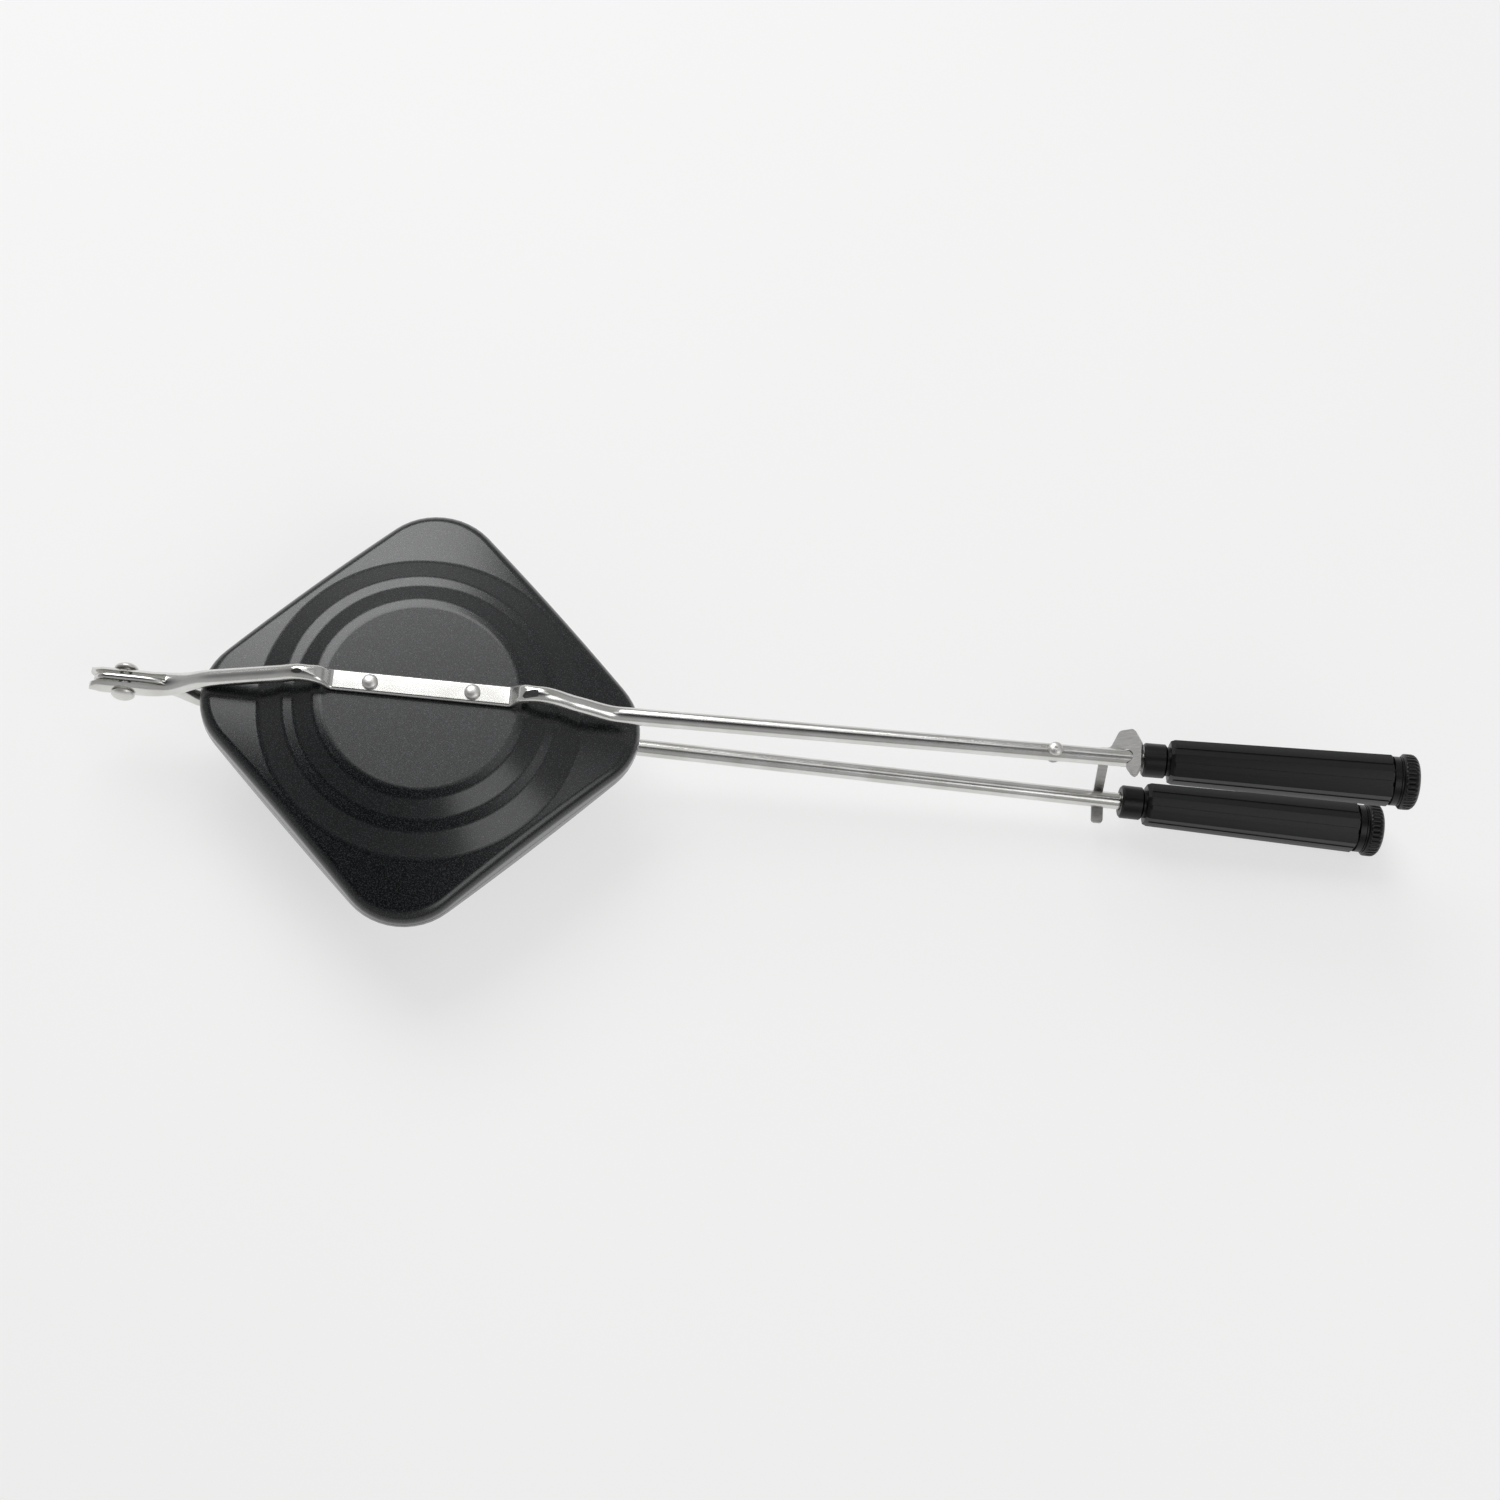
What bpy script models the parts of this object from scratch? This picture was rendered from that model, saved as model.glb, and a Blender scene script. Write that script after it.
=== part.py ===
"""Stovetop sandwich toaster: two square pressed pans that close face to face.

Each pan is riveted to a tube arm. The arms are hinged at one end and carry a
moulded grip at the other, where a sheet-metal latch on the upper arm hooks
round the lower one. The lower half stands still and the upper half opens.

The model's frame has +X from the pans to the grips, +Z up, and its origin in
the middle of the lower arm's flat strip, on the face that lies on the stove.
"""
from math import acos, atan, atan2, cos, pi, radians, sin, sqrt, tan

import bmesh
import bpy
from mathutils import Vector

# Clearances, in metres
TOUCH_GAP = 0.0003
RUN_GAP = 0.0001
OVERRUN = 0.002

# Pans: a square with rounded corners, pressed into a stepped round dome
PAN_SIDE = 0.146
PAN_CORNER = 0.028
PAN_SHEET = 0.0016
CORNER_HEIGHT = 0.0069
RIM_ROUND = 0.0045
SIDE_LAND = 0.0011
BEAD_WIDTH = 0.0014
BEAD_RISE = 0.0006
OUTER_RISER_WIDTH = 0.009
OUTER_RISER_RISE = 0.0056
TREAD_WIDTH = 0.0049
TREAD_RISE = 0.001
INNER_RISER_WIDTH = 0.0077
INNER_RISER_RISE = 0.0044
SHOULDER_WIDTH = 0.0038
SHOULDER_RISE = 0.0008
CORNER_FALL_SHARE = 0.176
CORNER_STEPS = 7
SIDE_STEPS = 8
ROUND_STEPS = 3

# Arms: one tube each, flattened where it crosses its pan
TUBE_RADIUS = 0.0036
TUBE_WALL = 0.0009
ARM_OFFSET = 0.003
ARM_SLOPE = 0.0368
STRIP_SETBACK = 0.0046
STRIP_WIDTH = 0.009
STRIP_THICKNESS = 0.0024
HUMP_OFFSET = 0.0105
HUMP_CREST = 0.003
HINGE_HUMP_RISE = 0.0042
GRIP_HUMP_RISE = 0.0056
HUMP_EASE = 0.0115
HUMP_DROP = 0.0035
HINGE_SIDE_GAP = 0.0021
GRIP_SIDE_GAP = 0.0063
FALL_LENGTH = 0.0355
BEND_TAIL = 0.012
ARM_REACH = 0.208
SECTION_SIDES = 16
NOSE_SHARES = (0.06, 0.29, 0.63, 1.0)
SWEEP_SHARES = (0.0, 0.3, 0.62, 0.85)
FALL_SHARES = (0.27, 0.5, 0.78, 1.0)

# Hinge: a fork on the upper arm, a tongue on the lower arm and a rivet
HINGE_CLEARANCE = 0.0317
EAR_NOSE = 0.0142
EAR_HEIGHT = 0.010
EAR_THICKNESS = 0.0023
FORK_GAP = 0.005
FORK_DEPTH = 0.0173
FORK_RELIEF = 0.0075
TONGUE_NOSE = 0.0052
TONGUE_PLAY = 0.001
NECK_LIFT = 0.0016
HINGE_PIN_RADIUS = 0.0025
HINGE_HEAD_RADIUS = 0.005
HINGE_HEAD_HEIGHT = 0.0028

# Rivets that hold the strips to the pans
RIVET_SETBACK = 0.015
RIVET_RADIUS = 0.002
RIVET_HEAD_RADIUS = 0.0033
RIVET_HEAD_HEIGHT = 0.002
RIVET_FOOT_RADIUS = 0.0036
RIVET_FOOT_HEIGHT = 0.0008
TURNED_SIDES = 20
DOME_STEPS = 3

# Grips, along their own axis from the end that faces the pans
GRIP_LENGTH = 0.1065
COLLAR_LENGTH = 0.0068
COLLAR_RADIUS = 0.0069
COLLAR_EDGE = 0.0008
GROOVE_LENGTH = 0.003
GROOVE_DEPTH = 0.0013
SHOULDER_LENGTH = 0.0012
SHOULDER_EDGE = 0.001
GRIP_START_RADIUS = 0.0095
GRIP_END_RADIUS = 0.0108
GRIP_NECK_LENGTH = 0.0018
GRIP_NECK_DEPTH = 0.002
GRIP_EDGE = 0.0008
GRIP_WALL = 0.0085
BLUNT_SHARE = 0.965

# Ribbed end caps, their screws and the threaded plugs in the tube ends
CAP_NECK_LENGTH = 0.0019
CAP_NECK_DEPTH = 0.0023
CAP_RADIUS = 0.0116
CAP_LENGTH = 0.0082
CAP_ROUND = 0.0036
CAP_END_RADIUS = 0.0058
CAP_EDGE = 0.0008
CAP_ROUND_SHARES = (0.0, 0.5, 0.85, 1.0)
RIB_COUNT = 26
RIB_DEPTH = 0.0007
SCREW_RADIUS = 0.0015
SCREW_HEAD_RADIUS = 0.0031
SCREW_HEAD_HEIGHT = 0.002
SCREW_RECESS = 0.0009
SCREW_REACH = 0.0085
PLUG_LENGTH = 0.012

# Latch: a bent plate clipped on the upper tube, in front of the grip
LATCH_PLAY = 0.0006
LATCH_SHEET = 0.0015
LATCH_TILT = radians(35)
LATCH_HOLE_GAP = 0.0003
LATCH_RIM = 0.0013
LATCH_CHIN = 0.0015
STRAP_WIDTH = 0.0026
THUMB_REACH = 0.012
THUMB_WIDTH = 0.0065
THUMB_FOOT_WIDTH = 0.014
FINGER_REACH = 0.0092
FINGER_WIDTH = 0.0042
FINGER_FOOT_WIDTH = 0.0068
LEG_WIDTH = 0.004
LEG_LEAN = 0.0038
LEG_SIDE_GAP = 0.0005
FOOT_WIDTH = 0.005
FOOT_REACH = 0.009

# Stop rivet across the upper tube, which keeps the latch near the grip
LATCH_TRAVEL = 0.0278
STOP_RADIUS = 0.0013
STOP_HEAD_RADIUS = 0.003
STOP_HEAD_HEIGHT = 0.0016

# Values that follow from the sizes above
HALF_SIDE = PAN_SIDE / 2
PAN_TIP = (HALF_SIDE - PAN_CORNER) * sqrt(2) + PAN_CORNER
BEAD_RADIUS = HALF_SIDE - RIM_ROUND - SIDE_LAND
OUTER_RISER_RADIUS = BEAD_RADIUS - BEAD_WIDTH
TREAD_RADIUS = OUTER_RISER_RADIUS - OUTER_RISER_WIDTH
INNER_RISER_RADIUS = TREAD_RADIUS - TREAD_WIDTH
SHOULDER_RADIUS = INNER_RISER_RADIUS - INNER_RISER_WIDTH
DISC_RADIUS = SHOULDER_RADIUS - SHOULDER_WIDTH
BEAD_HEIGHT = CORNER_HEIGHT + CORNER_FALL_SHARE * (PAN_TIP - RIM_ROUND - BEAD_RADIUS)
OUTER_RISER_HEIGHT = BEAD_HEIGHT + BEAD_RISE
TREAD_HEIGHT = OUTER_RISER_HEIGHT + OUTER_RISER_RISE
INNER_RISER_HEIGHT = TREAD_HEIGHT + TREAD_RISE
SHOULDER_HEIGHT = INNER_RISER_HEIGHT + INNER_RISER_RISE
DISC_HEIGHT = SHOULDER_HEIGHT + SHOULDER_RISE
RIM_LEVEL = TOUCH_GAP / 2
STRIP_HALF_LENGTH = DISC_RADIUS - STRIP_SETBACK
STRIP_LEVEL = DISC_HEIGHT + TOUCH_GAP + STRIP_THICKNESS / 2
STRIP_FACE = STRIP_LEVEL + STRIP_THICKNESS / 2
MID_HEIGHT = STRIP_FACE
RIVET_REACH = STRIP_HALF_LENGTH - RIVET_SETBACK
HUMP_REACH = STRIP_HALF_LENGTH + HUMP_OFFSET
FALL_END = HUMP_REACH + FALL_LENGTH
HINGE_REACH = PAN_TIP + HINGE_CLEARANCE
NECK_REACH = HINGE_REACH - FORK_DEPTH
GRIP_START = PAN_TIP + ARM_REACH
ARM_TILT = atan(ARM_SLOPE)
BORE_END = GRIP_LENGTH - GRIP_WALL
TUBE_IN_GRIP = (BORE_END - TOUCH_GAP) * cos(ARM_TILT)
EAR_OUTER = FORK_GAP / 2 + EAR_THICKNESS
TONGUE_THICKNESS = FORK_GAP - 2 * TONGUE_PLAY
FLAT_SHARE = 1 / cos(pi / SECTION_SIDES)
LATCH_HOLE_RADIUS = TUBE_RADIUS * FLAT_SHARE + LATCH_HOLE_GAP
LATCH_HOLE_HALF = LATCH_HOLE_RADIUS / sin(LATCH_TILT)
LATCH_TIP = LATCH_HOLE_HALF + STRAP_WIDTH
LATCH_HALF_LENGTH = LATCH_TIP * cos(LATCH_TILT) + LATCH_SHEET / 2 * sin(LATCH_TILT)
LATCH_REACH = GRIP_START - LATCH_PLAY - LATCH_HALF_LENGTH
STOP_REACH = LATCH_REACH - LATCH_TRAVEL
UP = 1
DOWN = -1


def clear_scene():
    for old in list(bpy.data.objects):
        bpy.data.objects.remove(old, do_unlink=True)


def make_material(name, colour, roughness, metallic):
    material = bpy.data.materials.new(name)
    material.use_nodes = True
    shader = material.node_tree.nodes["Principled BSDF"]
    shader.inputs["Base Color"].default_value = (*colour, 1.0)
    shader.inputs["Roughness"].default_value = roughness
    shader.inputs["Metallic"].default_value = metallic
    return material


def non_stick_coat(name):
    return make_material(name, (0.075, 0.075, 0.08), 0.5, 0.3)


def plated_steel(name):
    return make_material(name, (0.78, 0.78, 0.77), 0.22, 1.0)


def bright_steel(name):
    return make_material(name, (0.68, 0.68, 0.68), 0.3, 1.0)


def black_moulding(name):
    return make_material(name, (0.02, 0.02, 0.022), 0.45, 0.0)


def add_empty(name, location, parent=None, tilt=0.0):
    empty = bpy.data.objects.new(name, None)
    empty.location = location
    empty.rotation_euler = (0, tilt, 0)
    empty.parent = parent
    bpy.context.collection.objects.link(empty)
    return empty


def add_object(name, mesh, material=None, parent=None, location=(0, 0, 0)):
    thing = bpy.data.objects.new(name, mesh)
    thing.location = location
    thing.parent = parent
    if material is not None:
        mesh.materials.append(material)
    bpy.context.collection.objects.link(thing)
    return thing


def loft_mesh(name, rings, inside_out=False, open_ends=False, sharp=radians(32)):
    """Skin a row of closed rings with equal point counts and cap both ends."""
    bm = bmesh.new()
    loops = [[bm.verts.new(point) for point in ring] for ring in rings]
    for near, far in zip(loops, loops[1:]):
        for index, vertex in enumerate(near):
            after = (index + 1) % len(near)
            bm.faces.new((vertex, near[after], far[after], far[index]))
    if not open_ends:
        bm.faces.new(reversed(loops[0]))
        bm.faces.new(loops[-1])
    if inside_out:
        bmesh.ops.reverse_faces(bm, faces=bm.faces)
    mesh = bpy.data.meshes.new(name)
    bm.to_mesh(mesh)
    bm.free()
    mesh.shade_smooth()
    mesh.set_sharp_from_angle(angle=sharp)
    return mesh


def prism_mesh(name, outline, thickness):
    """Extrude a closed outline in the XY plane evenly to both sides of it."""
    low = [Vector((x, y, -thickness / 2)) for x, y in outline]
    high = [Vector((x, y, thickness / 2)) for x, y in outline]
    return loft_mesh(name, [low, high])


def circle(radius, count, x):
    """A ring about the X axis that runs so that a loft towards +X faces out."""
    turns = [2 * pi * index / count for index in range(count)]
    return [Vector((x, radius * cos(turn), radius * sin(turn))) for turn in turns]


def turned_mesh(name, profile, count=TURNED_SIDES):
    """Turn a list of (place along X, radius) about the X axis."""
    return loft_mesh(name, [circle(radius, count, x) for x, radius in profile])


def dome_profile(start, radius, height, direction):
    """Profile points from the dome's tip to its rim, which lies at start."""
    sphere = (radius ** 2 + height ** 2) / (2 * height)
    widest = acos((sphere - height) / sphere)
    points = []
    for step in range(1, DOME_STEPS + 1):
        turn = widest * step / DOME_STEPS
        rise = sphere * cos(turn) - (sphere - height)
        points.append((start + direction * rise, sphere * sin(turn)))
    return points


def cut(target, cutter):
    cutter.hide_render = True
    cutter.display_type = "WIRE"
    modifier = target.modifiers.new(cutter.name, "BOOLEAN")
    modifier.operation = "DIFFERENCE"
    modifier.solver = "EXACT"
    modifier.object = cutter


def join(target, addition):
    addition.hide_render = True
    addition.display_type = "WIRE"
    modifier = target.modifiers.new(addition.name, "BOOLEAN")
    modifier.operation = "UNION"
    modifier.solver = "EXACT"
    modifier.object = addition


def round_cutter(name, radius, length, centre, direction, parent=None):
    """A cylinder whose flats touch the stated radius, for cutting a hole."""
    reach = radius / cos(pi / TURNED_SIDES)
    profile = [(-length / 2, reach), (length / 2, reach)]
    cutter = add_object(name, turned_mesh(name, profile), None, parent, centre)
    cutter.rotation_euler = Vector((1, 0, 0)).rotation_difference(direction).to_euler()
    return cutter


# Pans

def square_reach(angle, half_side, corner):
    """Distance from the middle to a rounded square whose corners are on X and Y."""
    turn = abs(angle % (pi / 2) - pi / 4)
    centre = half_side - corner
    if half_side * tan(turn) <= centre:
        return half_side / cos(turn)
    along = centre * (cos(turn) + sin(turn))
    return along + sqrt(along ** 2 - 2 * centre ** 2 + corner ** 2)


def pan_angles():
    """Directions of the pan's points, closer together round the four corners."""
    centre = (HALF_SIDE - PAN_CORNER) * sqrt(2)
    corner = []
    for step in range(CORNER_STEPS + 1):
        turn = (step / CORNER_STEPS - 1 / 2) * pi / 2
        corner.append(atan2(PAN_CORNER * sin(turn), centre + PAN_CORNER * cos(turn)))
    side_span = pi / 2 - 2 * corner[-1]
    angles = []
    for quarter in range(4):
        angles += [quarter * pi / 2 + turn for turn in corner]
        side_start = quarter * pi / 2 + corner[-1]
        angles += [side_start + side_span * step / SIDE_STEPS for step in range(1, SIDE_STEPS)]
    return angles


def dome_rings():
    """(radius, height) of the round part, from the disc's edge outwards."""
    return (
        (DISC_RADIUS, DISC_HEIGHT),
        (SHOULDER_RADIUS, SHOULDER_HEIGHT),
        (INNER_RISER_RADIUS, INNER_RISER_HEIGHT),
        (TREAD_RADIUS, TREAD_HEIGHT),
        (OUTER_RISER_RADIUS, OUTER_RISER_HEIGHT),
        (BEAD_RADIUS, BEAD_HEIGHT),
    )


def pan_mesh(name, side):
    """The outer face of one pan; Solidify gives it the sheet's thickness."""
    angles = pan_angles()
    rings = [[(radius, angle, height) for angle in angles] for radius, height in dome_rings()]
    for step in range(ROUND_STEPS + 1):
        turn = pi / 2 * step / ROUND_STEPS
        inset = RIM_ROUND * (1 - sin(turn))
        fall = RIM_ROUND * (1 - cos(turn))
        ring = []
        for angle in angles:
            start = square_reach(angle, HALF_SIDE - RIM_ROUND, PAN_CORNER - RIM_ROUND)
            level = BEAD_HEIGHT - CORNER_FALL_SHARE * (start - BEAD_RADIUS)
            reach = square_reach(angle, HALF_SIDE - inset, PAN_CORNER - inset)
            ring.append((reach, angle, level - fall))
        rings.append(ring)
    rings.append([(reach, angle, RIM_LEVEL) for reach, angle, height in rings[-1]])
    bm = bmesh.new()
    loops = []
    for ring in rings:
        loops.append([bm.verts.new((r * cos(a), r * sin(a), side * z)) for r, a, z in ring])
    bm.faces.new(loops[0])
    for inner, outer in zip(loops, loops[1:]):
        for index, vertex in enumerate(inner):
            after = (index + 1) % len(inner)
            bm.faces.new((vertex, outer[index], outer[after], inner[after]))
    if side == DOWN:
        bmesh.ops.reverse_faces(bm, faces=bm.faces)
    mesh = bpy.data.meshes.new(name)
    bm.to_mesh(mesh)
    bm.free()
    mesh.shade_smooth()
    mesh.set_sharp_from_angle(angle=radians(35))
    return mesh


def build_pan(name, side, material, parent, location):
    pan = add_object(name, pan_mesh(name, side), material, parent, location)
    sheet = pan.modifiers.new("sheet", "SOLIDIFY")
    sheet.thickness = PAN_SHEET
    sheet.offset = -1
    sheet.use_even_offset = True
    cut_rivet_holes(pan, side, DISC_HEIGHT, PAN_SHEET, parent, location)
    return pan


def cut_rivet_holes(target, side, level, thickness, parent, location):
    """Two holes through a pan or a strip, on the rivets' axes."""
    for number, reach in enumerate((-RIVET_REACH, RIVET_REACH), start=1):
        centre = Vector(location) + Vector((reach, ARM_OFFSET, side * level))
        name = f"{target.name}_hole_{number}"
        length = 2 * thickness + 2 * OVERRUN
        radius = RIVET_RADIUS + TOUCH_GAP
        cut(target, round_cutter(name, radius, length, centre, Vector((0, 0, 1)), parent))


# Arms

def straight_level(x):
    """Height of the arm's straight run above the joint plane."""
    return CORNER_HEIGHT + TUBE_RADIUS + GRIP_SIDE_GAP + ARM_SLOPE * (x - PAN_TIP)


def smooth_step(share):
    return share * share * (3 - 2 * share)


def eased(x, knots):
    """Read a size at x from rising (x, value) knots, easing from one to the next."""
    if x <= knots[0][0]:
        return knots[0][1]
    for (x0, value0), (x1, value1) in zip(knots, knots[1:]):
        if x <= x1:
            return value0 + (value1 - value0) * smooth_step((x - x0) / (x1 - x0))
    return knots[-1][1]


def curve_level(x, knots):
    """Height at x on a smooth curve through the knots, with the straight run after it."""
    if x >= FALL_END:
        return straight_level(x)
    index = 0
    while index < len(knots) - 2 and x > knots[index + 1][0]:
        index += 1
    x0, z0 = knots[index]
    x1, z1 = knots[index + 1]
    span = x1 - x0
    share = (x - x0) / span
    leaving = (1 + 2 * share) * (1 - share) ** 2 * z0
    leaving += share * (1 - share) ** 2 * span * knot_slope(index, knots)
    arriving = share ** 2 * (3 - 2 * share) * z1
    arriving += share ** 2 * (share - 1) * span * knot_slope(index + 1, knots)
    return leaving + arriving


def knot_slope(index, knots):
    """The gentler of the two chords at a knot, level at a crest and at both ends."""
    if index == 0 or index == len(knots) - 1:
        return 0.0
    (x0, z0), (x1, z1), (x2, z2) = knots[index - 1:index + 2]
    before = (z1 - z0) / (x1 - x0)
    after = (z2 - z1) / (x2 - x1)
    if before * after <= 0:
        return 0.0
    return min(before, after, key=abs)


def arm_knots():
    """(x, height) of the arm's centre line, from the hinge to the straight run."""
    hinge_crest = STRIP_LEVEL + HINGE_HUMP_RISE
    grip_crest = STRIP_LEVEL + GRIP_HUMP_RISE
    fall_level = straight_level(FALL_END)
    return (
        (-HINGE_REACH - EAR_NOSE, 0.0),
        (-HINGE_REACH, 0.0),
        (-HINGE_REACH + EAR_HEIGHT, 0.0),
        (-NECK_REACH, NECK_LIFT),
        (-PAN_TIP + RIM_ROUND, CORNER_HEIGHT + TUBE_RADIUS + HINGE_SIDE_GAP),
        (-HUMP_REACH - HUMP_EASE, hinge_crest - HUMP_DROP),
        (-HUMP_REACH - HUMP_CREST, hinge_crest),
        (-HUMP_REACH + HUMP_CREST, hinge_crest),
        (-STRIP_HALF_LENGTH, STRIP_LEVEL),
        (STRIP_HALF_LENGTH, STRIP_LEVEL),
        (HUMP_REACH - HUMP_CREST, grip_crest),
        (HUMP_REACH + HUMP_CREST, grip_crest),
        ((HUMP_REACH + FALL_END) / 2, (grip_crest + fall_level) / 2),
        (FALL_END, fall_level),
    )


def arm_places(nose):
    """Stations along X: close together in the bends, few on the straight runs."""
    half = EAR_HEIGHT / 2
    tip = -HINGE_REACH - nose
    places = [tip + half * share for share in NOSE_SHARES]
    places += [-HINGE_REACH + half, -HINGE_REACH + EAR_HEIGHT, -NECK_REACH]
    places += [-(NECK_REACH + PAN_TIP) / 2]
    sweep = PAN_TIP - HUMP_REACH
    places += [-PAN_TIP + sweep * share for share in SWEEP_SHARES]
    hump = [HUMP_REACH + HUMP_CREST, HUMP_REACH, HUMP_REACH - HUMP_CREST]
    hump += [(HUMP_REACH - HUMP_CREST + STRIP_HALF_LENGTH) / 2, STRIP_HALF_LENGTH]
    hump += [STRIP_HALF_LENGTH - STRIP_THICKNESS, RIVET_REACH - 2 * RIVET_HEAD_RADIUS]
    places += [-x for x in hump] + hump[::-1]
    places += [HUMP_REACH + FALL_LENGTH * share for share in FALL_SHARES]
    return places + [FALL_END + BEND_TAIL, GRIP_START + TUBE_IN_GRIP]


def arm_half_height(x, nose):
    """Half the section's size square to the arm, in the plane of the bends."""
    half = EAR_HEIGHT / 2
    from_tip = x + HINGE_REACH + nose
    if from_tip < half:
        return half * sqrt(1 - (1 - from_tip / half) ** 2)
    return eased(x, (
        (-HINGE_REACH + half, half),
        (-PAN_TIP, TUBE_RADIUS),
        (-HUMP_REACH - HUMP_CREST, TUBE_RADIUS),
        (-STRIP_HALF_LENGTH, STRIP_THICKNESS / 2),
        (STRIP_HALF_LENGTH, STRIP_THICKNESS / 2),
        (HUMP_REACH + HUMP_CREST, TUBE_RADIUS),
    ))


def arm_half_width(x, hinge_half_width):
    """Half the section's size along Y."""
    return eased(x, (
        (-NECK_REACH, hinge_half_width),
        (-PAN_TIP, TUBE_RADIUS),
        (-HUMP_REACH, TUBE_RADIUS),
        (-STRIP_HALF_LENGTH, STRIP_WIDTH / 2),
        (STRIP_HALF_LENGTH, STRIP_WIDTH / 2),
        (HUMP_REACH, TUBE_RADIUS),
    ))


def arm_section(centre, tilt, half_width, half_height):
    """A rounded rectangle that is a circle where both half sizes are equal."""
    corner = min(half_width, half_height)
    points = []
    for index in range(SECTION_SIDES):
        turn = 2 * pi * (index + 1 / 2) / SECTION_SIDES
        side_y = 1 if cos(turn) > 0 else -1
        side_z = 1 if sin(turn) > 0 else -1
        y = side_y * (half_width - corner) + corner * FLAT_SHARE * cos(turn)
        rise = side_z * (half_height - corner) + corner * FLAT_SHARE * sin(turn)
        points.append(centre + Vector((-rise * sin(tilt), y, rise * cos(tilt))))
    return points


def arm_tilt(x, knots):
    step = TOUCH_GAP
    if abs(x) < STRIP_HALF_LENGTH:
        return 0.0
    return atan((curve_level(x + step, knots) - curve_level(x - step, knots)) / (2 * step))


def arm_mesh(name, side, hinge_half_width, nose):
    knots = arm_knots()
    rings = []
    for x in arm_places(nose):
        centre = Vector((x, ARM_OFFSET, curve_level(x, knots)))
        half_height = arm_half_height(x, nose)
        half_width = arm_half_width(x, hinge_half_width)
        ring = arm_section(centre, arm_tilt(x, knots), half_width, half_height)
        rings.append([Vector((p.x, p.y, side * p.z)) for p in ring])
    return loft_mesh(name, rings, inside_out=side == DOWN)


def bore_tube_end(arm, side, parent, location):
    """The hollow of the straight run, open at the end inside the grip."""
    start = FALL_END + BEND_TAIL
    length = (GRIP_START + TUBE_IN_GRIP - start) / cos(ARM_TILT)
    middle = (GRIP_START + TUBE_IN_GRIP + start) / 2 + OVERRUN
    centre = Vector(location) + Vector((middle, ARM_OFFSET, side * straight_level(middle)))
    direction = Vector((1, 0, side * ARM_SLOPE))
    radius = TUBE_RADIUS - TUBE_WALL
    cut(arm, round_cutter(f"{arm.name}_bore", radius, length, centre, direction, parent))


def cut_fork(arm, parent, location):
    """The slot between the ears, deeper below where the other arm leaves it."""
    slot_end = -HINGE_REACH + FORK_DEPTH
    far_left = -HINGE_REACH - EAR_NOSE - OVERRUN
    outline = (
        (far_left, -EAR_HEIGHT),
        (slot_end + FORK_RELIEF, -EAR_HEIGHT),
        (slot_end + FORK_RELIEF, 0.0),
        (slot_end, EAR_HEIGHT / 2 - EAR_THICKNESS / 2),
        (slot_end, EAR_HEIGHT),
        (far_left, EAR_HEIGHT),
    )
    cutter = add_object("fork_slot", prism_mesh("fork_slot", outline, FORK_GAP), None, parent)
    cutter.location = Vector(location) + Vector((0, ARM_OFFSET, 0))
    cutter.rotation_euler = (pi / 2, 0, 0)
    cut(arm, cutter)


def cut_hinge_hole(arm, parent, location):
    centre = Vector(location) + Vector((-HINGE_REACH, ARM_OFFSET, 0))
    length = 2 * EAR_OUTER + 2 * OVERRUN
    radius = HINGE_PIN_RADIUS + RUN_GAP
    name = f"{arm.name}_hinge_hole"
    cut(arm, round_cutter(name, radius, length, centre, Vector((0, 1, 0)), parent))


def build_upper_arm(material, parent, location):
    mesh = arm_mesh("upper_arm", UP, EAR_OUTER, EAR_NOSE)
    arm = add_object("upper_arm", mesh, material, parent, location)
    cut_fork(arm, parent, location)
    finish_arm(arm, UP, parent, location)
    stop = Vector(location) + Vector((STOP_REACH, ARM_OFFSET, straight_level(STOP_REACH)))
    across = Vector((-ARM_SLOPE, 0, 1))
    length = 2 * TUBE_RADIUS + 2 * OVERRUN
    cut(arm, round_cutter("stop_hole", STOP_RADIUS + TOUCH_GAP, length, stop, across, parent))
    return arm


def build_lower_arm(material, parent, location):
    mesh = arm_mesh("lower_arm", DOWN, TONGUE_THICKNESS / 2, TONGUE_NOSE)
    arm = add_object("lower_arm", mesh, material, parent, location)
    finish_arm(arm, DOWN, parent, location)
    return arm


def finish_arm(arm, side, parent, location):
    cut_hinge_hole(arm, parent, location)
    cut_rivet_holes(arm, side, STRIP_LEVEL, STRIP_THICKNESS, parent, location)
    bore_tube_end(arm, side, parent, location)


# Rivets

def build_pan_rivet(name, side, reach, material, parent, location):
    """Domed head on the strip, flat head on the cooking side of the pan."""
    head = STRIP_FACE + TOUCH_GAP
    foot = DISC_HEIGHT - PAN_SHEET - TOUCH_GAP
    profile = [(foot - RIVET_FOOT_HEIGHT, RIVET_FOOT_RADIUS), (foot, RIVET_FOOT_RADIUS)]
    profile += [(foot, RIVET_RADIUS), (head, RIVET_RADIUS)]
    dome = dome_profile(head, RIVET_HEAD_RADIUS, RIVET_HEAD_HEIGHT, UP)
    profile += dome[::-1]
    rivet = add_object(name, turned_mesh(name, profile), material, parent)
    rivet.location = Vector(location) + Vector((reach, ARM_OFFSET, 0))
    rivet.rotation_euler = (0, -side * pi / 2, 0)
    return rivet


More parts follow.
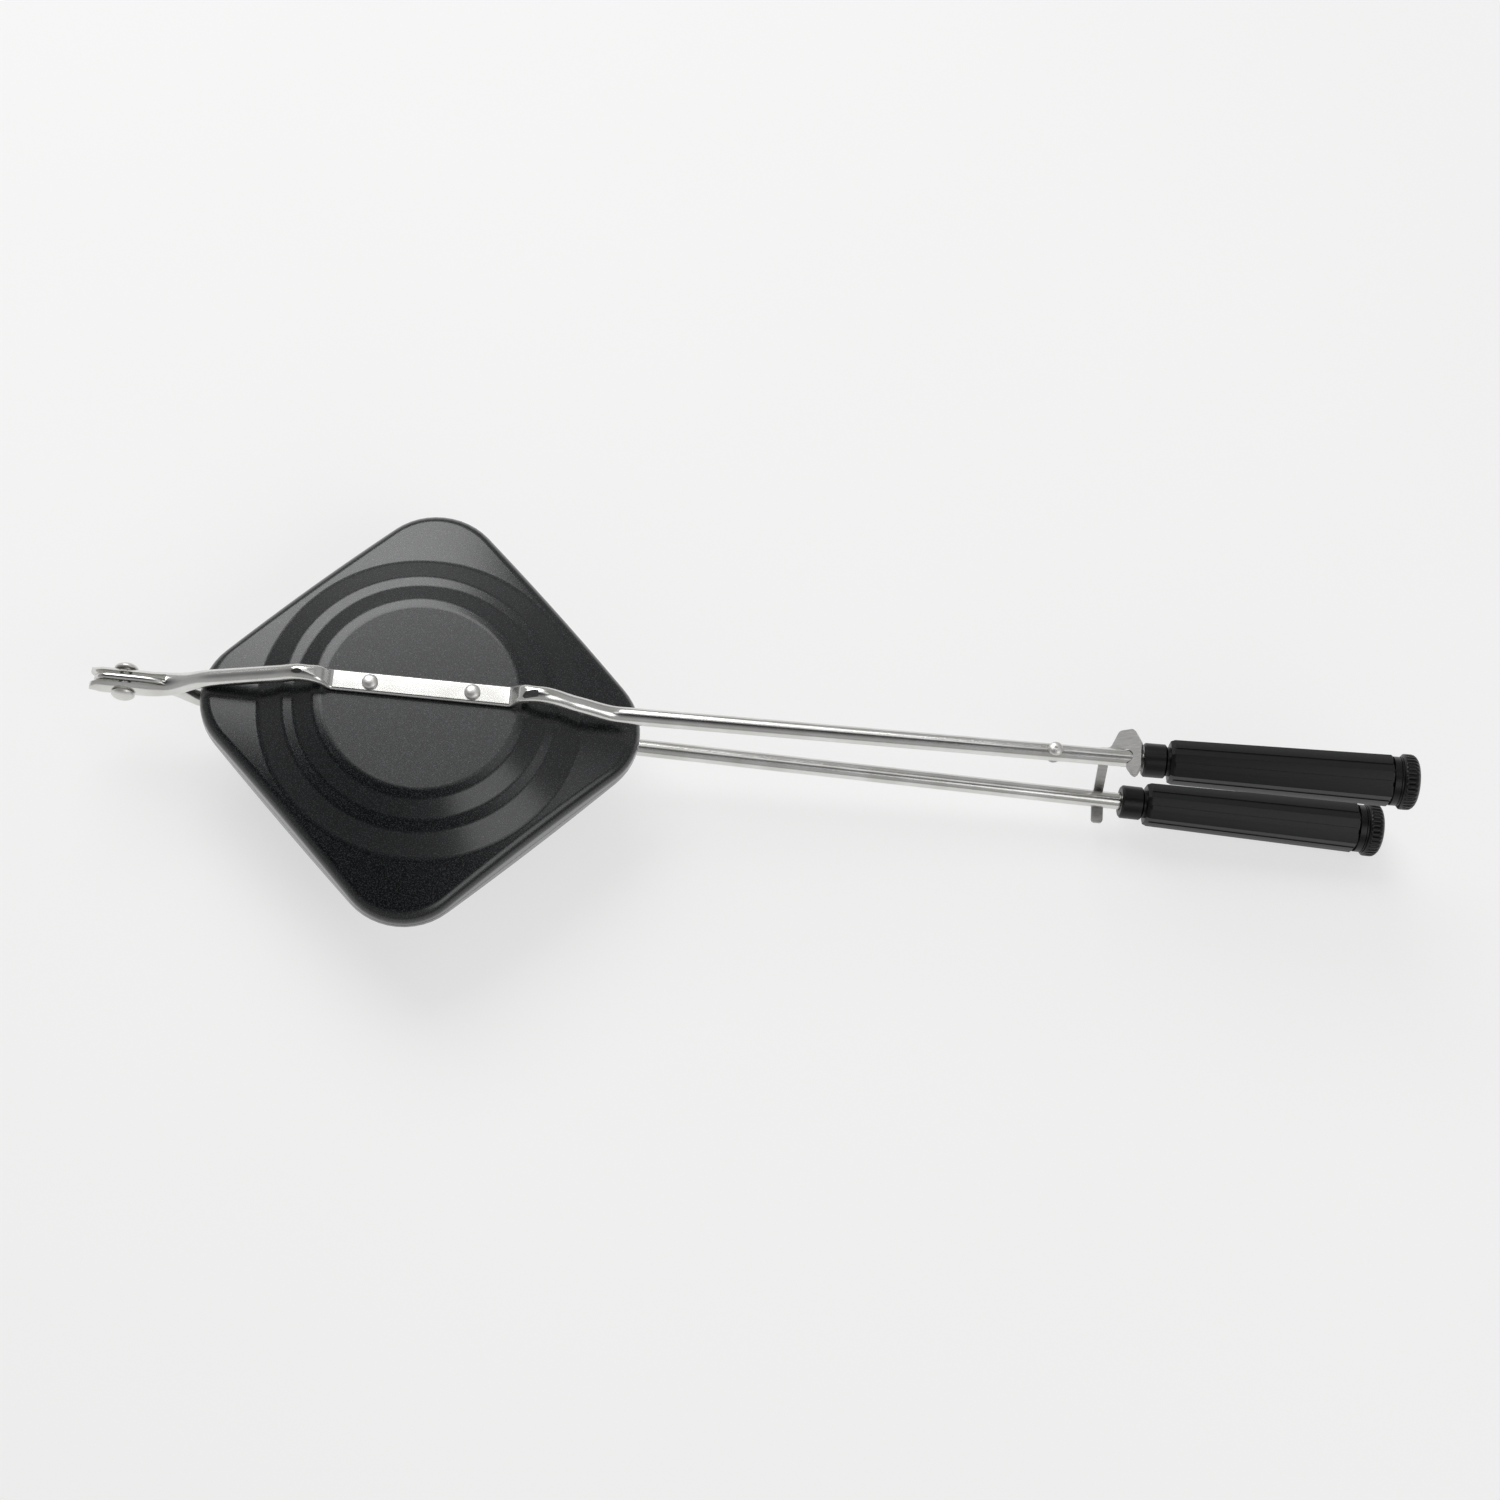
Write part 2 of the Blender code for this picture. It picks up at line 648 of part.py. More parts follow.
def build_hinge_rivet(material, location):
    """Domed heads outside both ears."""
    seat = EAR_OUTER + TOUCH_GAP
    near = dome_profile(-seat, HINGE_HEAD_RADIUS, HINGE_HEAD_HEIGHT, DOWN)
    far = dome_profile(seat, HINGE_HEAD_RADIUS, HINGE_HEAD_HEIGHT, UP)
    profile = near + [(-seat, HINGE_PIN_RADIUS), (seat, HINGE_PIN_RADIUS)] + far[::-1]
    rivet = add_object("hinge_rivet", turned_mesh("hinge_rivet", profile), material)
    rivet.location = location
    rivet.rotation_euler = (0, 0, pi / 2)
    return rivet


def build_stop_rivet(material, parent, location):
    """Small domed heads above and below the upper tube."""
    seat = TUBE_RADIUS + TOUCH_GAP
    low = dome_profile(-seat, STOP_HEAD_RADIUS, STOP_HEAD_HEIGHT, DOWN)
    high = dome_profile(seat, STOP_HEAD_RADIUS, STOP_HEAD_HEIGHT, UP)
    profile = low + [(-seat, STOP_RADIUS), (seat, STOP_RADIUS)] + high[::-1]
    mesh = turned_mesh("latch_stop_rivet", profile)
    rivet = add_object("latch_stop_rivet", mesh, material, parent)
    rivet.location = Vector(location) + Vector((STOP_REACH, ARM_OFFSET, straight_level(STOP_REACH)))
    rivet.rotation_euler = (0, -pi / 2 - ARM_TILT, 0)
    return rivet


# Grips

def grip_turns():
    """Angles round the grip: four close points at each of its six blunt edges."""
    offsets = (0, 6, 12, 30, 48, 54)
    return [radians(60 * edge + 90 + offset) for edge in range(6) for offset in offsets]


def hex_ring(x, radius):
    """A six-sided section with blunt edges, one of them on top."""
    ring = []
    for turn in grip_turns():
        from_flat = (turn - pi / 2) % (pi / 3) - pi / 6
        reach = min(radius * cos(pi / 6) / cos(from_flat), radius * BLUNT_SHARE)
        ring.append(Vector((x, reach * cos(turn), reach * sin(turn))))
    return ring


def grip_circle(x, radius):
    return [Vector((x, radius * cos(turn), radius * sin(turn))) for turn in grip_turns()]


def grip_mesh(name):
    groove = COLLAR_LENGTH
    shoulder = groove + GROOVE_LENGTH
    neck = GRIP_LENGTH - GRIP_NECK_LENGTH
    groove_radius = COLLAR_RADIUS - GROOVE_DEPTH
    neck_radius = GRIP_END_RADIUS - GRIP_NECK_DEPTH
    rings = [
        grip_circle(0.0, COLLAR_RADIUS - COLLAR_EDGE),
        grip_circle(COLLAR_EDGE, COLLAR_RADIUS),
        grip_circle(groove - COLLAR_EDGE, COLLAR_RADIUS),
        grip_circle(groove, COLLAR_RADIUS - COLLAR_EDGE),
        grip_circle(groove + GROOVE_LENGTH / 3, groove_radius),
        grip_circle(shoulder, groove_radius),
        hex_ring(shoulder, GRIP_START_RADIUS - SHOULDER_EDGE),
        hex_ring(shoulder + SHOULDER_LENGTH, GRIP_START_RADIUS),
        hex_ring(neck - GRIP_EDGE, GRIP_END_RADIUS),
        hex_ring(neck, GRIP_END_RADIUS - GRIP_EDGE),
        grip_circle(neck, neck_radius),
        grip_circle(GRIP_LENGTH, neck_radius),
    ]
    return loft_mesh(name, rings)


def build_grip(name, material, axis):
    grip = add_object(name, grip_mesh(name), material, axis)
    bore_centre = Vector(((BORE_END - OVERRUN) / 2, 0, 0))
    along = Vector((1, 0, 0))
    radius = TUBE_RADIUS * FLAT_SHARE + TOUCH_GAP
    cut(grip, round_cutter(f"{name}_bore", radius, BORE_END + OVERRUN, bore_centre, along, axis))
    screw_radius = SCREW_RADIUS + TOUCH_GAP
    screw_length = 2 * GRIP_WALL
    screw_centre = Vector((GRIP_LENGTH, 0, 0))
    cut(grip, round_cutter(f"{name}_eye", screw_radius, screw_length + OVERRUN, screw_centre, along, axis))
    return grip


# End caps

def ribbed_ring(x, radius, depth):
    count = 2 * RIB_COUNT
    ring = []
    for index in range(count):
        turn = 2 * pi * index / count
        reach = radius - depth * (index % 2)
        ring.append(Vector((x, reach * cos(turn), reach * sin(turn))))
    return ring


def build_cap(name, material, axis):
    """A ribbed knob with a neck, bored for its screw and counterbored for the head."""
    start = GRIP_LENGTH + TOUCH_GAP
    knob = start + CAP_NECK_LENGTH
    end = start + CAP_LENGTH
    smooth = CAP_RADIUS - RIB_DEPTH
    neck_radius = CAP_RADIUS - CAP_NECK_DEPTH
    rings = [
        ribbed_ring(start, neck_radius, 0.0),
        ribbed_ring(knob, neck_radius, 0.0),
        ribbed_ring(knob, smooth, 0.0),
        ribbed_ring(knob + CAP_EDGE, CAP_RADIUS, RIB_DEPTH),
    ]
    for share in CAP_ROUND_SHARES:
        radius = CAP_END_RADIUS + (CAP_RADIUS - CAP_END_RADIUS) * sqrt(1 - share * share)
        rings.append(ribbed_ring(end - CAP_ROUND * (1 - share), radius, RIB_DEPTH * (1 - share)))
    cap = add_object(name, loft_mesh(name, rings), material, axis)
    along = Vector((1, 0, 0))
    middle = Vector(((start + end) / 2, 0, 0))
    eye_radius = SCREW_RADIUS + TOUCH_GAP
    cut(cap, round_cutter(f"{name}_eye", eye_radius, 2 * CAP_LENGTH, middle, along, axis))
    seat = screw_seat()
    recess_middle = Vector(((seat + end + OVERRUN) / 2, 0, 0))
    recess_radius = SCREW_HEAD_RADIUS + TOUCH_GAP
    recess_length = end + OVERRUN - seat
    cut(cap, round_cutter(f"{name}_recess", recess_radius, recess_length, recess_middle, along, axis))
    return cap


def screw_seat():
    """Place of the counterbore's floor along the grip's axis."""
    end = GRIP_LENGTH + TOUCH_GAP + CAP_LENGTH
    return end - SCREW_RECESS - SCREW_HEAD_HEIGHT - TOUCH_GAP


def build_cap_screw(name, material, axis):
    head = screw_seat() + TOUCH_GAP
    tip = TUBE_IN_GRIP / cos(ARM_TILT) - SCREW_REACH
    edge = SCREW_HEAD_HEIGHT / 4
    profile = [
        (tip, SCREW_RADIUS - edge),
        (tip + edge, SCREW_RADIUS),
        (head, SCREW_RADIUS),
        (head, SCREW_HEAD_RADIUS),
        (head + SCREW_HEAD_HEIGHT - edge, SCREW_HEAD_RADIUS),
        (head + SCREW_HEAD_HEIGHT, SCREW_HEAD_RADIUS - edge),
    ]
    return add_object(name, turned_mesh(name, profile), material, axis)


def build_tube_plug(name, material, axis):
    """The threaded plug pressed into the tube's end, which takes the screw."""
    end = TUBE_IN_GRIP / cos(ARM_TILT) - TOUCH_GAP
    radius = TUBE_RADIUS - TUBE_WALL - TOUCH_GAP
    profile = [(end - PLUG_LENGTH, radius), (end, radius)]
    plug = add_object(name, turned_mesh(name, profile), material, axis)
    hole_radius = SCREW_RADIUS + RUN_GAP
    length = 2 * PLUG_LENGTH + OVERRUN
    middle = Vector((end - PLUG_LENGTH / 2, 0, 0))
    cut(plug, round_cutter(f"{name}_thread", hole_radius, length, middle, Vector((1, 0, 0)), axis))
    return plug


# Latch

def latch_plate_outline():
    """The plate's edge, with its slope as X: a hook, open towards the near side."""
    near = -LATCH_HOLE_RADIUS - LATCH_RIM
    far = LATCH_HOLE_RADIUS + LATCH_RIM
    hook_start = LATCH_TIP - FINGER_FOOT_WIDTH
    thumb_middle = LATCH_TIP - THUMB_FOOT_WIDTH / 2
    thumb_corner = THUMB_REACH - LATCH_RIM
    finger_middle = LATCH_TIP - FINGER_FOOT_WIDTH / 2
    finger_corner = -FINGER_REACH + LATCH_RIM
    return (
        (-LATCH_TIP, -LATCH_CHIN),
        (hook_start, -LATCH_CHIN),
        (hook_start, near),
        (finger_middle - FINGER_WIDTH / 2, finger_corner),
        (finger_middle - FINGER_WIDTH / 4, -FINGER_REACH),
        (finger_middle + FINGER_WIDTH / 4, -FINGER_REACH),
        (finger_middle + FINGER_WIDTH / 2, finger_corner),
        (LATCH_TIP, near),
        (LATCH_TIP, far),
        (thumb_middle + THUMB_WIDTH / 2, thumb_corner),
        (thumb_middle + THUMB_WIDTH / 3, THUMB_REACH),
        (thumb_middle - THUMB_WIDTH / 3, THUMB_REACH),
        (thumb_middle - THUMB_WIDTH / 2, thumb_corner),
        (LATCH_TIP - THUMB_FOOT_WIDTH, far),
        (-LATCH_TIP, far),
    )


def strip_ring(centre, across, width, through, thickness):
    """A rectangular section for bent sheet metal."""
    a = across * width / 2
    b = through * thickness / 2
    return [centre - a - b, centre + a - b, centre + a + b, centre - a + b]


def latch_leg_mesh(name):
    """The leg down the far side of the lower tube and the foot beneath it."""
    top_x = -LATCH_TIP * cos(LATCH_TILT) + LEG_WIDTH / 2
    top_z = -LATCH_TIP * sin(LATCH_TILT) + LATCH_SHEET
    leg_y = TUBE_RADIUS * FLAT_SHARE + LEG_SIDE_GAP + LATCH_SHEET / 2
    foot_x = top_x + LEG_LEAN
    foot_place = LATCH_REACH + foot_x - FOOT_WIDTH / 2
    below = TUBE_RADIUS * FLAT_SHARE + TOUCH_GAP + LATCH_SHEET / 2
    foot_z = -2 * straight_level(foot_place) - below - ARM_SLOPE * FOOT_REACH
    x_axis = Vector((1, 0, 0))
    bend = Vector((0, -1, 1)).normalized()
    bend_y = leg_y - LATCH_SHEET / 4
    bend_z = foot_z + LATCH_SHEET / 4
    path = (
        (Vector((top_x, leg_y, top_z)), Vector((0, -1, 0)), LEG_WIDTH),
        (Vector((foot_x, leg_y, foot_z + LATCH_SHEET)), Vector((0, -1, 0)), LEG_WIDTH),
        (Vector((foot_x, bend_y, bend_z)), bend, FOOT_WIDTH),
        (Vector((foot_x, leg_y - LATCH_SHEET, foot_z)), Vector((0, 0, 1)), FOOT_WIDTH),
        (Vector((foot_x, -FOOT_REACH, foot_z)), Vector((0, 0, 1)), FOOT_WIDTH),
    )
    rings = []
    for centre, through, width in path:
        rings.append(strip_ring(centre, x_axis, width, through, LATCH_SHEET))
    return loft_mesh(name, rings, sharp=radians(50))


def build_latch(material, axis):
    outline = latch_plate_outline()
    latch = add_object("latch", prism_mesh("latch", outline, LATCH_SHEET), material, axis)
    latch.rotation_euler = (0, -LATCH_TILT, 0)
    leg = add_object("latch_leg", latch_leg_mesh("latch_leg"), None, axis)
    join(latch, leg)
    length = 4 * THUMB_REACH
    along = Vector((1, 0, 0))
    cut(latch, round_cutter("latch_hole", LATCH_HOLE_RADIUS, length, Vector((0, 0, 0)), along, axis))
    return latch


# The whole toaster

def build_half(side, parent, location, grip_axis):
    """What both halves have: a pan, its rivets, a grip, a cap, a screw and a plug."""
    word = "upper" if side == UP else "lower"
    build_pan(f"{word}_pan", side, non_stick_coat(f"{word}_pan_coat"), parent, location)
    for number, reach in enumerate((-RIVET_REACH, RIVET_REACH), start=1):
        name = f"{word}_pan_rivet_{number}"
        build_pan_rivet(name, side, reach, bright_steel(f"{name}_steel"), parent, location)
    build_grip(f"{word}_grip", black_moulding(f"{word}_grip_moulding"), grip_axis)
    build_cap(f"{word}_grip_cap", black_moulding(f"{word}_cap_moulding"), grip_axis)
    build_cap_screw(f"{word}_cap_screw", bright_steel(f"{word}_screw_steel"), grip_axis)
    build_tube_plug(f"{word}_tube_plug", bright_steel(f"{word}_plug_steel"), grip_axis)


def main():
    clear_scene()
    middle = Vector((0, 0, MID_HEIGHT))
    hinge = Vector((-HINGE_REACH, ARM_OFFSET, MID_HEIGHT))
    hinge_axis = add_empty("arm_hinge_axis", hinge)
    from_hinge = middle - hinge
    grip_place = Vector((GRIP_START, ARM_OFFSET, straight_level(GRIP_START)))
    upper_axis = add_empty("upper_grip_axis", from_hinge + grip_place, hinge_axis, -ARM_TILT)
    low_place = Vector((grip_place.x, grip_place.y, -grip_place.z))
    lower_axis = add_empty("lower_grip_axis", middle + low_place, None, ARM_TILT)
    latch_place = Vector((LATCH_REACH, ARM_OFFSET, straight_level(LATCH_REACH)))
    latch_axis = add_empty("latch_axis", from_hinge + latch_place, hinge_axis, -ARM_TILT)

    build_half(DOWN, None, middle, lower_axis)
    build_lower_arm(plated_steel("lower_arm_plating"), None, middle)
    build_hinge_rivet(bright_steel("hinge_rivet_steel"), hinge)

    build_half(UP, hinge_axis, from_hinge, upper_axis)
    build_upper_arm(plated_steel("upper_arm_plating"), hinge_axis, from_hinge)
    build_stop_rivet(bright_steel("stop_rivet_steel"), hinge_axis, from_hinge)
    build_latch(bright_steel("latch_steel"), latch_axis)


main()
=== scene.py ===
from math import atan, cos, degrees, pi, radians, sin, sqrt

import bmesh
import bpy
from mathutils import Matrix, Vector


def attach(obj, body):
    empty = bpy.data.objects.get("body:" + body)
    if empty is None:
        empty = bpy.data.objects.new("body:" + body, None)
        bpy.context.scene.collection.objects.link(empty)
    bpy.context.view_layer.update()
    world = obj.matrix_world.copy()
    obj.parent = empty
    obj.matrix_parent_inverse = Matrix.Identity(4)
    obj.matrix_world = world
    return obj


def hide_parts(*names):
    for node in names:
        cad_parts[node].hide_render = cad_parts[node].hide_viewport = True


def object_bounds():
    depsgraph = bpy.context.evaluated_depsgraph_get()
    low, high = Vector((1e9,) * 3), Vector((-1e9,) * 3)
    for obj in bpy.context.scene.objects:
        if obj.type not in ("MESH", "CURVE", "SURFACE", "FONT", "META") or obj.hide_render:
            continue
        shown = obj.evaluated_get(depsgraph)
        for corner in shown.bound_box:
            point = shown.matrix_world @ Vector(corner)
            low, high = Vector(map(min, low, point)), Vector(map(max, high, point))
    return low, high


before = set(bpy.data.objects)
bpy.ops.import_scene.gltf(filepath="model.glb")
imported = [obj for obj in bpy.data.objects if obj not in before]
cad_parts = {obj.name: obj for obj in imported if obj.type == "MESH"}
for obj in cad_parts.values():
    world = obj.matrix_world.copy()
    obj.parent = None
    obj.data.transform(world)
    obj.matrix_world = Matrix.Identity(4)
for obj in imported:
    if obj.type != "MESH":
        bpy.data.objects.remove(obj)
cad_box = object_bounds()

# Studio. A matt white table top under the closed toaster, a strong soft lamp behind on the
# left, a weak one overhead and another in front on the right, and a room that is pale at
# eye height and dim overhead, which is what bright plating needs to show its shape.

MM = 0.001
MIDDLE = Vector((0.12, 0.0, 0.02))
TABLE_SIDE = 20.0
WHITE_SHARE = 0.62
TOWARDS_DIM = (-0.24, 0.034, 0.97)


def linear(hex_colour):
    """An sRGB hex colour as linear red, green, blue and alpha."""
    channels = [int(hex_colour[start:start + 2], 16) / 255 for start in (1, 3, 5)]
    return [c / 12.92 if c <= 0.04045 else ((c + 0.055) / 1.055) ** 2.4 for c in channels] + [1]


def add_node(tree, kind, settings=None, links=None):
    """Add one node: settings fill its sockets or its options, links feed its sockets."""
    node = tree.nodes.new(kind)
    for name, value in (settings or {}).items():
        if name == "stops":
            ramp = node.color_ramp.elements
            while len(ramp) < len(value):
                ramp.new(1.0)
            for stop, (place, colour) in zip(ramp, value):
                stop.position = place
                stop.color = colour
        elif isinstance(name, int) or name in node.inputs:
            node.inputs[name].default_value = value
        else:
            setattr(node, name, value)
    for name, source in (links or {}).items():
        tree.links.new(source, node.inputs[name])
    return node


def start_material(name):
    """A new material with nothing in its tree but the output."""
    material = bpy.data.materials.new(name)
    material.use_nodes = True
    material.node_tree.nodes.clear()
    return material, material.node_tree


def finish_material(tree, shader):
    add_node(tree, "ShaderNodeOutputMaterial", {}, {"Surface": shader.outputs[0]})


def soft_lamp(name, azimuth, elevation, distance, width, height, brightness):
    """A rectangular lamp that faces the toaster; brightness is what its face shows."""
    data = bpy.data.lights.new(name, "AREA")
    data.shape = "RECTANGLE"
    data.size = width
    data.size_y = height
    data.energy = brightness * pi * width * height
    lamp = bpy.data.objects.new(name, data)
    turn = radians(azimuth)
    rise = radians(elevation)
    away = Vector((cos(rise) * cos(turn), cos(rise) * sin(turn), sin(rise)))
    lamp.location = MIDDLE + distance * away
    lamp.rotation_euler = away.to_track_quat("Z", "Y").to_euler()
    lamp.visible_camera = False
    bpy.context.collection.objects.link(lamp)
    return lamp


bpy.ops.object.select_all(action="DESELECT")
bpy.ops.mesh.primitive_plane_add(size=TABLE_SIDE, location=(0, 0, cad_box[0][2]))
table_top = bpy.context.object
table_top.name = "table_top"
bpy.ops.object.transform_apply(location=True, rotation=True, scale=True)

# Matt white laminate: close to white, with no gloss to mirror the lamps. What the camera and
# the plating see of it is lifted part of the way to plain white, and its shadow stays.
laminate, tree = start_material("matt_white_laminate")
place = add_node(tree, "ShaderNodeTexCoord")
mottle = add_node(
    tree, "ShaderNodeTexNoise", {"Scale": 3.0, "Detail": 2.0}, {"Vector": place.outputs["Object"]}
)
tint = add_node(
    tree, "ShaderNodeValToRGB",
    {"stops": [(0.3, linear("#f3f3f2")), (0.7, linear("#f7f7f6"))]},
    {"Fac": mottle.outputs["Fac"]},
)
shader = add_node(
    tree, "ShaderNodeBsdfPrincipled", {"Roughness": 0.85, "Specular IOR Level": 0.2},
    {"Base Color": tint.outputs["Color"]},
)
sight = add_node(tree, "ShaderNodeLightPath")
seen = sight.outputs["Is Camera Ray"]
for also_seen in ("Is Glossy Ray", "Is Transmission Ray"):
    either = add_node(
        tree, "ShaderNodeMath", {"operation": "MAXIMUM"}, {0: seen, 1: sight.outputs[also_seen]}
    )
    seen = either.outputs["Value"]
lift = add_node(tree, "ShaderNodeMath", {"operation": "MULTIPLY", 1: WHITE_SHARE}, {0: seen})
white = add_node(tree, "ShaderNodeEmission", {"Strength": 1.0})
lifted = add_node(
    tree, "ShaderNodeMixShader", {},
    {0: lift.outputs["Value"], 1: shader.outputs["BSDF"], 2: white.outputs["Emission"]},
)
finish_material(tree, lifted)
table_top.data.materials.append(laminate)

world = bpy.data.worlds.new("room")
bpy.context.scene.world = world
world.use_nodes = True
tree = world.node_tree
tree.nodes.clear()
place = add_node(tree, "ShaderNodeTexCoord")
near_dim = add_node(
    tree, "ShaderNodeVectorMath", {"operation": "DOT_PRODUCT", 1: TOWARDS_DIM},
    {0: place.outputs["Generated"]},
)
room_tone = add_node(
    tree, "ShaderNodeValToRGB",
    {"stops": [
        (0.0, linear("#8a8a8a")), (0.2, linear("#aeaeae")), (0.6, linear("#a6a6a6")),
        (0.84, linear("#6c6c6e")), (0.95, linear("#1a1a1c")),
    ]},
    {"Fac": near_dim.outputs["Value"]},
)
glow = add_node(
    tree, "ShaderNodeBackground", {"Strength": 1.0}, {"Color": room_tone.outputs["Color"]}
)
add_node(tree, "ShaderNodeOutputWorld", {}, {"Surface": glow.outputs[0]})

soft_lamp("back_left_lamp", 117, 46, 1.7, 1.2, 1.1, 3.9)
soft_lamp("overhead_lamp", 62, 75, 1.7, 1.05, 0.5, 0.92)
soft_lamp("front_right_lamp", 322, 46, 1.5, 0.95, 0.8, 1.5)

camera_data = bpy.data.cameras.new("photo_camera")
camera_data.lens = 76.426
camera_data.sensor_width = 36.0
camera = bpy.data.objects.new("photo_camera", camera_data)
camera.location = (0.066143, -0.500340, 1.261106)
camera.rotation_euler = (radians(21.7133), radians(-4.9657), radians(4.0839))
bpy.context.collection.objects.link(camera)
bpy.context.scene.camera = camera
bpy.context.scene.view_settings.view_transform = "Standard"


# Pans. Two square shells pressed from sheet, with rounded corners, a raised bead and a
# stepped round dome, sprayed inside and out with a dark speckled non-stick coat. The
# lower one is the same pressing turned over.

TOUCH_GAP = 0.3 * MM
JOINT_LEVEL = 25.474 * MM
HALF_SIDE = 73 * MM
PAN_CORNER = 28 * MM
PAN_SHEET = 1.6 * MM
RIM_ROUND = 4.5 * MM
CORNER_FALL = 0.176
BEAD_RADIUS = 67.4 * MM
BEAD_LEVEL = 10.374 * MM
DISC_RADIUS = 40.6 * MM
DISC_LEVEL = 22.774 * MM
PRESS_STEPS = (
    (BEAD_RADIUS, BEAD_LEVEL),
    (66.0 * MM, 10.974 * MM),
    (57.0 * MM, 16.574 * MM),
    (52.1 * MM, 17.574 * MM),
    (44.4 * MM, 21.974 * MM),
    (DISC_RADIUS, DISC_LEVEL),
)
BEAD_SOFTNESS = 0.5 * MM
STEP_SOFTNESS = 0.9 * MM
ARM_Y = 3.0 * MM
RIVET_REACH = 21.0 * MM
RIVET_HOLE = 2.3 * MM
RIVET_HOLE_DEPTH = 8 * MM
CLOSE = 0.02 * MM


def edit_piece(name):
    """Name the new primitive, put its place in its mesh and open it for editing."""
    piece = bpy.context.object
    piece.name = name
    piece.data.name = name
    bpy.ops.object.transform_apply(location=True, rotation=True, scale=True)
    bpy.ops.object.mode_set(mode="EDIT")
    return piece


def leave_edit():
    bpy.ops.object.mode_set(mode="OBJECT")


def pick(kind, test):
    """In edit mode, select the points, edges or faces for which the test is true."""
    bpy.ops.mesh.select_mode(type=kind)
    bpy.ops.mesh.select_all(action="DESELECT")
    shape = bmesh.from_edit_mesh(bpy.context.edit_object.data)
    for part in {"VERT": shape.verts, "EDGE": shape.edges, "FACE": shape.faces}[kind]:
        if test(part):
            part.select_set(True)
    shape.select_flush_mode()
    bmesh.update_edit_mesh(bpy.context.edit_object.data)


def picked_points():
    shape = bmesh.from_edit_mesh(bpy.context.edit_object.data)
    return [point.co.copy() for point in shape.verts if point.select]


def close(value, target, within=CLOSE):
    return abs(value - target) < within


def from_axis(point):
    """Distance from the pans' upright axis."""
    return point.co.xy.length


def use_modifier(piece, kind, **settings):
    """Add a modifier with its settings and apply it."""
    bpy.ops.object.select_all(action="DESELECT")
    piece.select_set(True)
    bpy.context.view_layer.objects.active = piece
    modifier = piece.modifiers.new(kind.lower(), kind)
    for name, value in settings.items():
        setattr(modifier, name, value)
    bpy.ops.object.modifier_apply(modifier=modifier.name)


def cut_away(piece, cutter, operation="DIFFERENCE"):
    """Cut one piece with another, or join them, and remove the second."""
    use_modifier(piece, "BOOLEAN", operation=operation, solver="EXACT", object=cutter)
    bpy.data.objects.remove(cutter)


def drill(piece, radius, middle, length, turned=(0, 0, 0)):
    bpy.ops.object.select_all(action="DESELECT")
    bpy.ops.mesh.primitive_cylinder_add(
        vertices=48, radius=radius, depth=length, location=middle, rotation=turned
    )
    cut_away(piece, bpy.context.object)


def smooth_piece(piece, angle=32):
    """Shade it smooth up to the angle, with its flats kept flat beside small roundings."""
    bpy.ops.object.select_all(action="DESELECT")
    piece.select_set(True)
    bpy.context.view_layer.objects.active = piece
    bpy.ops.object.shade_smooth_by_angle(angle=radians(angle))
    use_modifier(piece, "WEIGHTED_NORMAL", mode="FACE_AREA", weight=50, keep_sharp=True)


def turned_over(piece, name):
    """A copy with its own mesh, mirrored in the plane where the two pans meet."""
    bpy.ops.object.select_all(action="DESELECT")
    copy = piece.copy()
    copy.data = piece.data.copy()
    copy.name = name
    copy.data.name = name
    bpy.context.collection.objects.link(copy)
    copy.select_set(True)
    bpy.context.view_layer.objects.active = copy
    bpy.ops.object.mode_set(mode="EDIT")
    bpy.ops.mesh.select_all(action="SELECT")
    bpy.ops.transform.resize(value=(1, 1, -1), center_override=(0, 0, JOINT_LEVEL))
    bpy.ops.mesh.normals_make_consistent(inside=False)
    leave_edit()
    return copy


bpy.ops.object.select_all(action="DESELECT")
bpy.ops.mesh.primitive_circle_add(
    vertices=4, radius=HALF_SIDE * sqrt(2), fill_type="NGON",
    location=(0, 0, JOINT_LEVEL + BEAD_LEVEL),
)
upper_shell = edit_piece("upper_pressed_pan")
pick("VERT", lambda point: True)
bpy.ops.mesh.bevel(
    offset=PAN_CORNER, offset_type="OFFSET", segments=12, affect="VERTICES", profile=0.5
)
pick("EDGE", lambda edge: edge.calc_length() > PAN_CORNER)
bpy.ops.mesh.subdivide(number_cuts=35)
pick("FACE", lambda face: True)
bpy.ops.mesh.delete(type="ONLY_FACE")
pick("EDGE", lambda edge: True)
bpy.ops.mesh.extrude_edges_move()
bpy.ops.transform.tosphere(value=1.0)
level = BEAD_LEVEL
for ring_radius, ring_level in PRESS_STEPS:
    if ring_level > level:
        bpy.ops.mesh.extrude_edges_move()
    growth = ring_radius / picked_points()[0].xy.length
    bpy.ops.transform.resize(
        value=(growth, growth, 1), center_override=(0, 0, JOINT_LEVEL + level)
    )
    bpy.ops.transform.translate(value=(0, 0, ring_level - level))
    level = ring_level
bpy.ops.mesh.edge_face_add()
leave_edit()

# The corners fall away from the bead: the outline is dropped on a wide cone.
cone_foot = 120 * MM
cone_height = CORNER_FALL * cone_foot
cone_top = BEAD_LEVEL + CORNER_FALL * BEAD_RADIUS
bpy.ops.object.select_all(action="DESELECT")
bpy.ops.mesh.primitive_cone_add(
    vertices=384, radius1=cone_foot, depth=cone_height, end_fill_type="NOTHING",
    location=(0, 0, JOINT_LEVEL + cone_top - cone_height / 2),
)
cone = bpy.context.object
outline = upper_shell.vertex_groups.new(name="outline")
outline.add(
    [p.index for p in upper_shell.data.vertices if from_axis(p) > BEAD_RADIUS + MM], 1.0, "ADD"
)
use_modifier(
    upper_shell, "SHRINKWRAP", target=cone, wrap_method="PROJECT", use_project_z=True,
    use_negative_direction=True, use_positive_direction=True, vertex_group="outline",
)
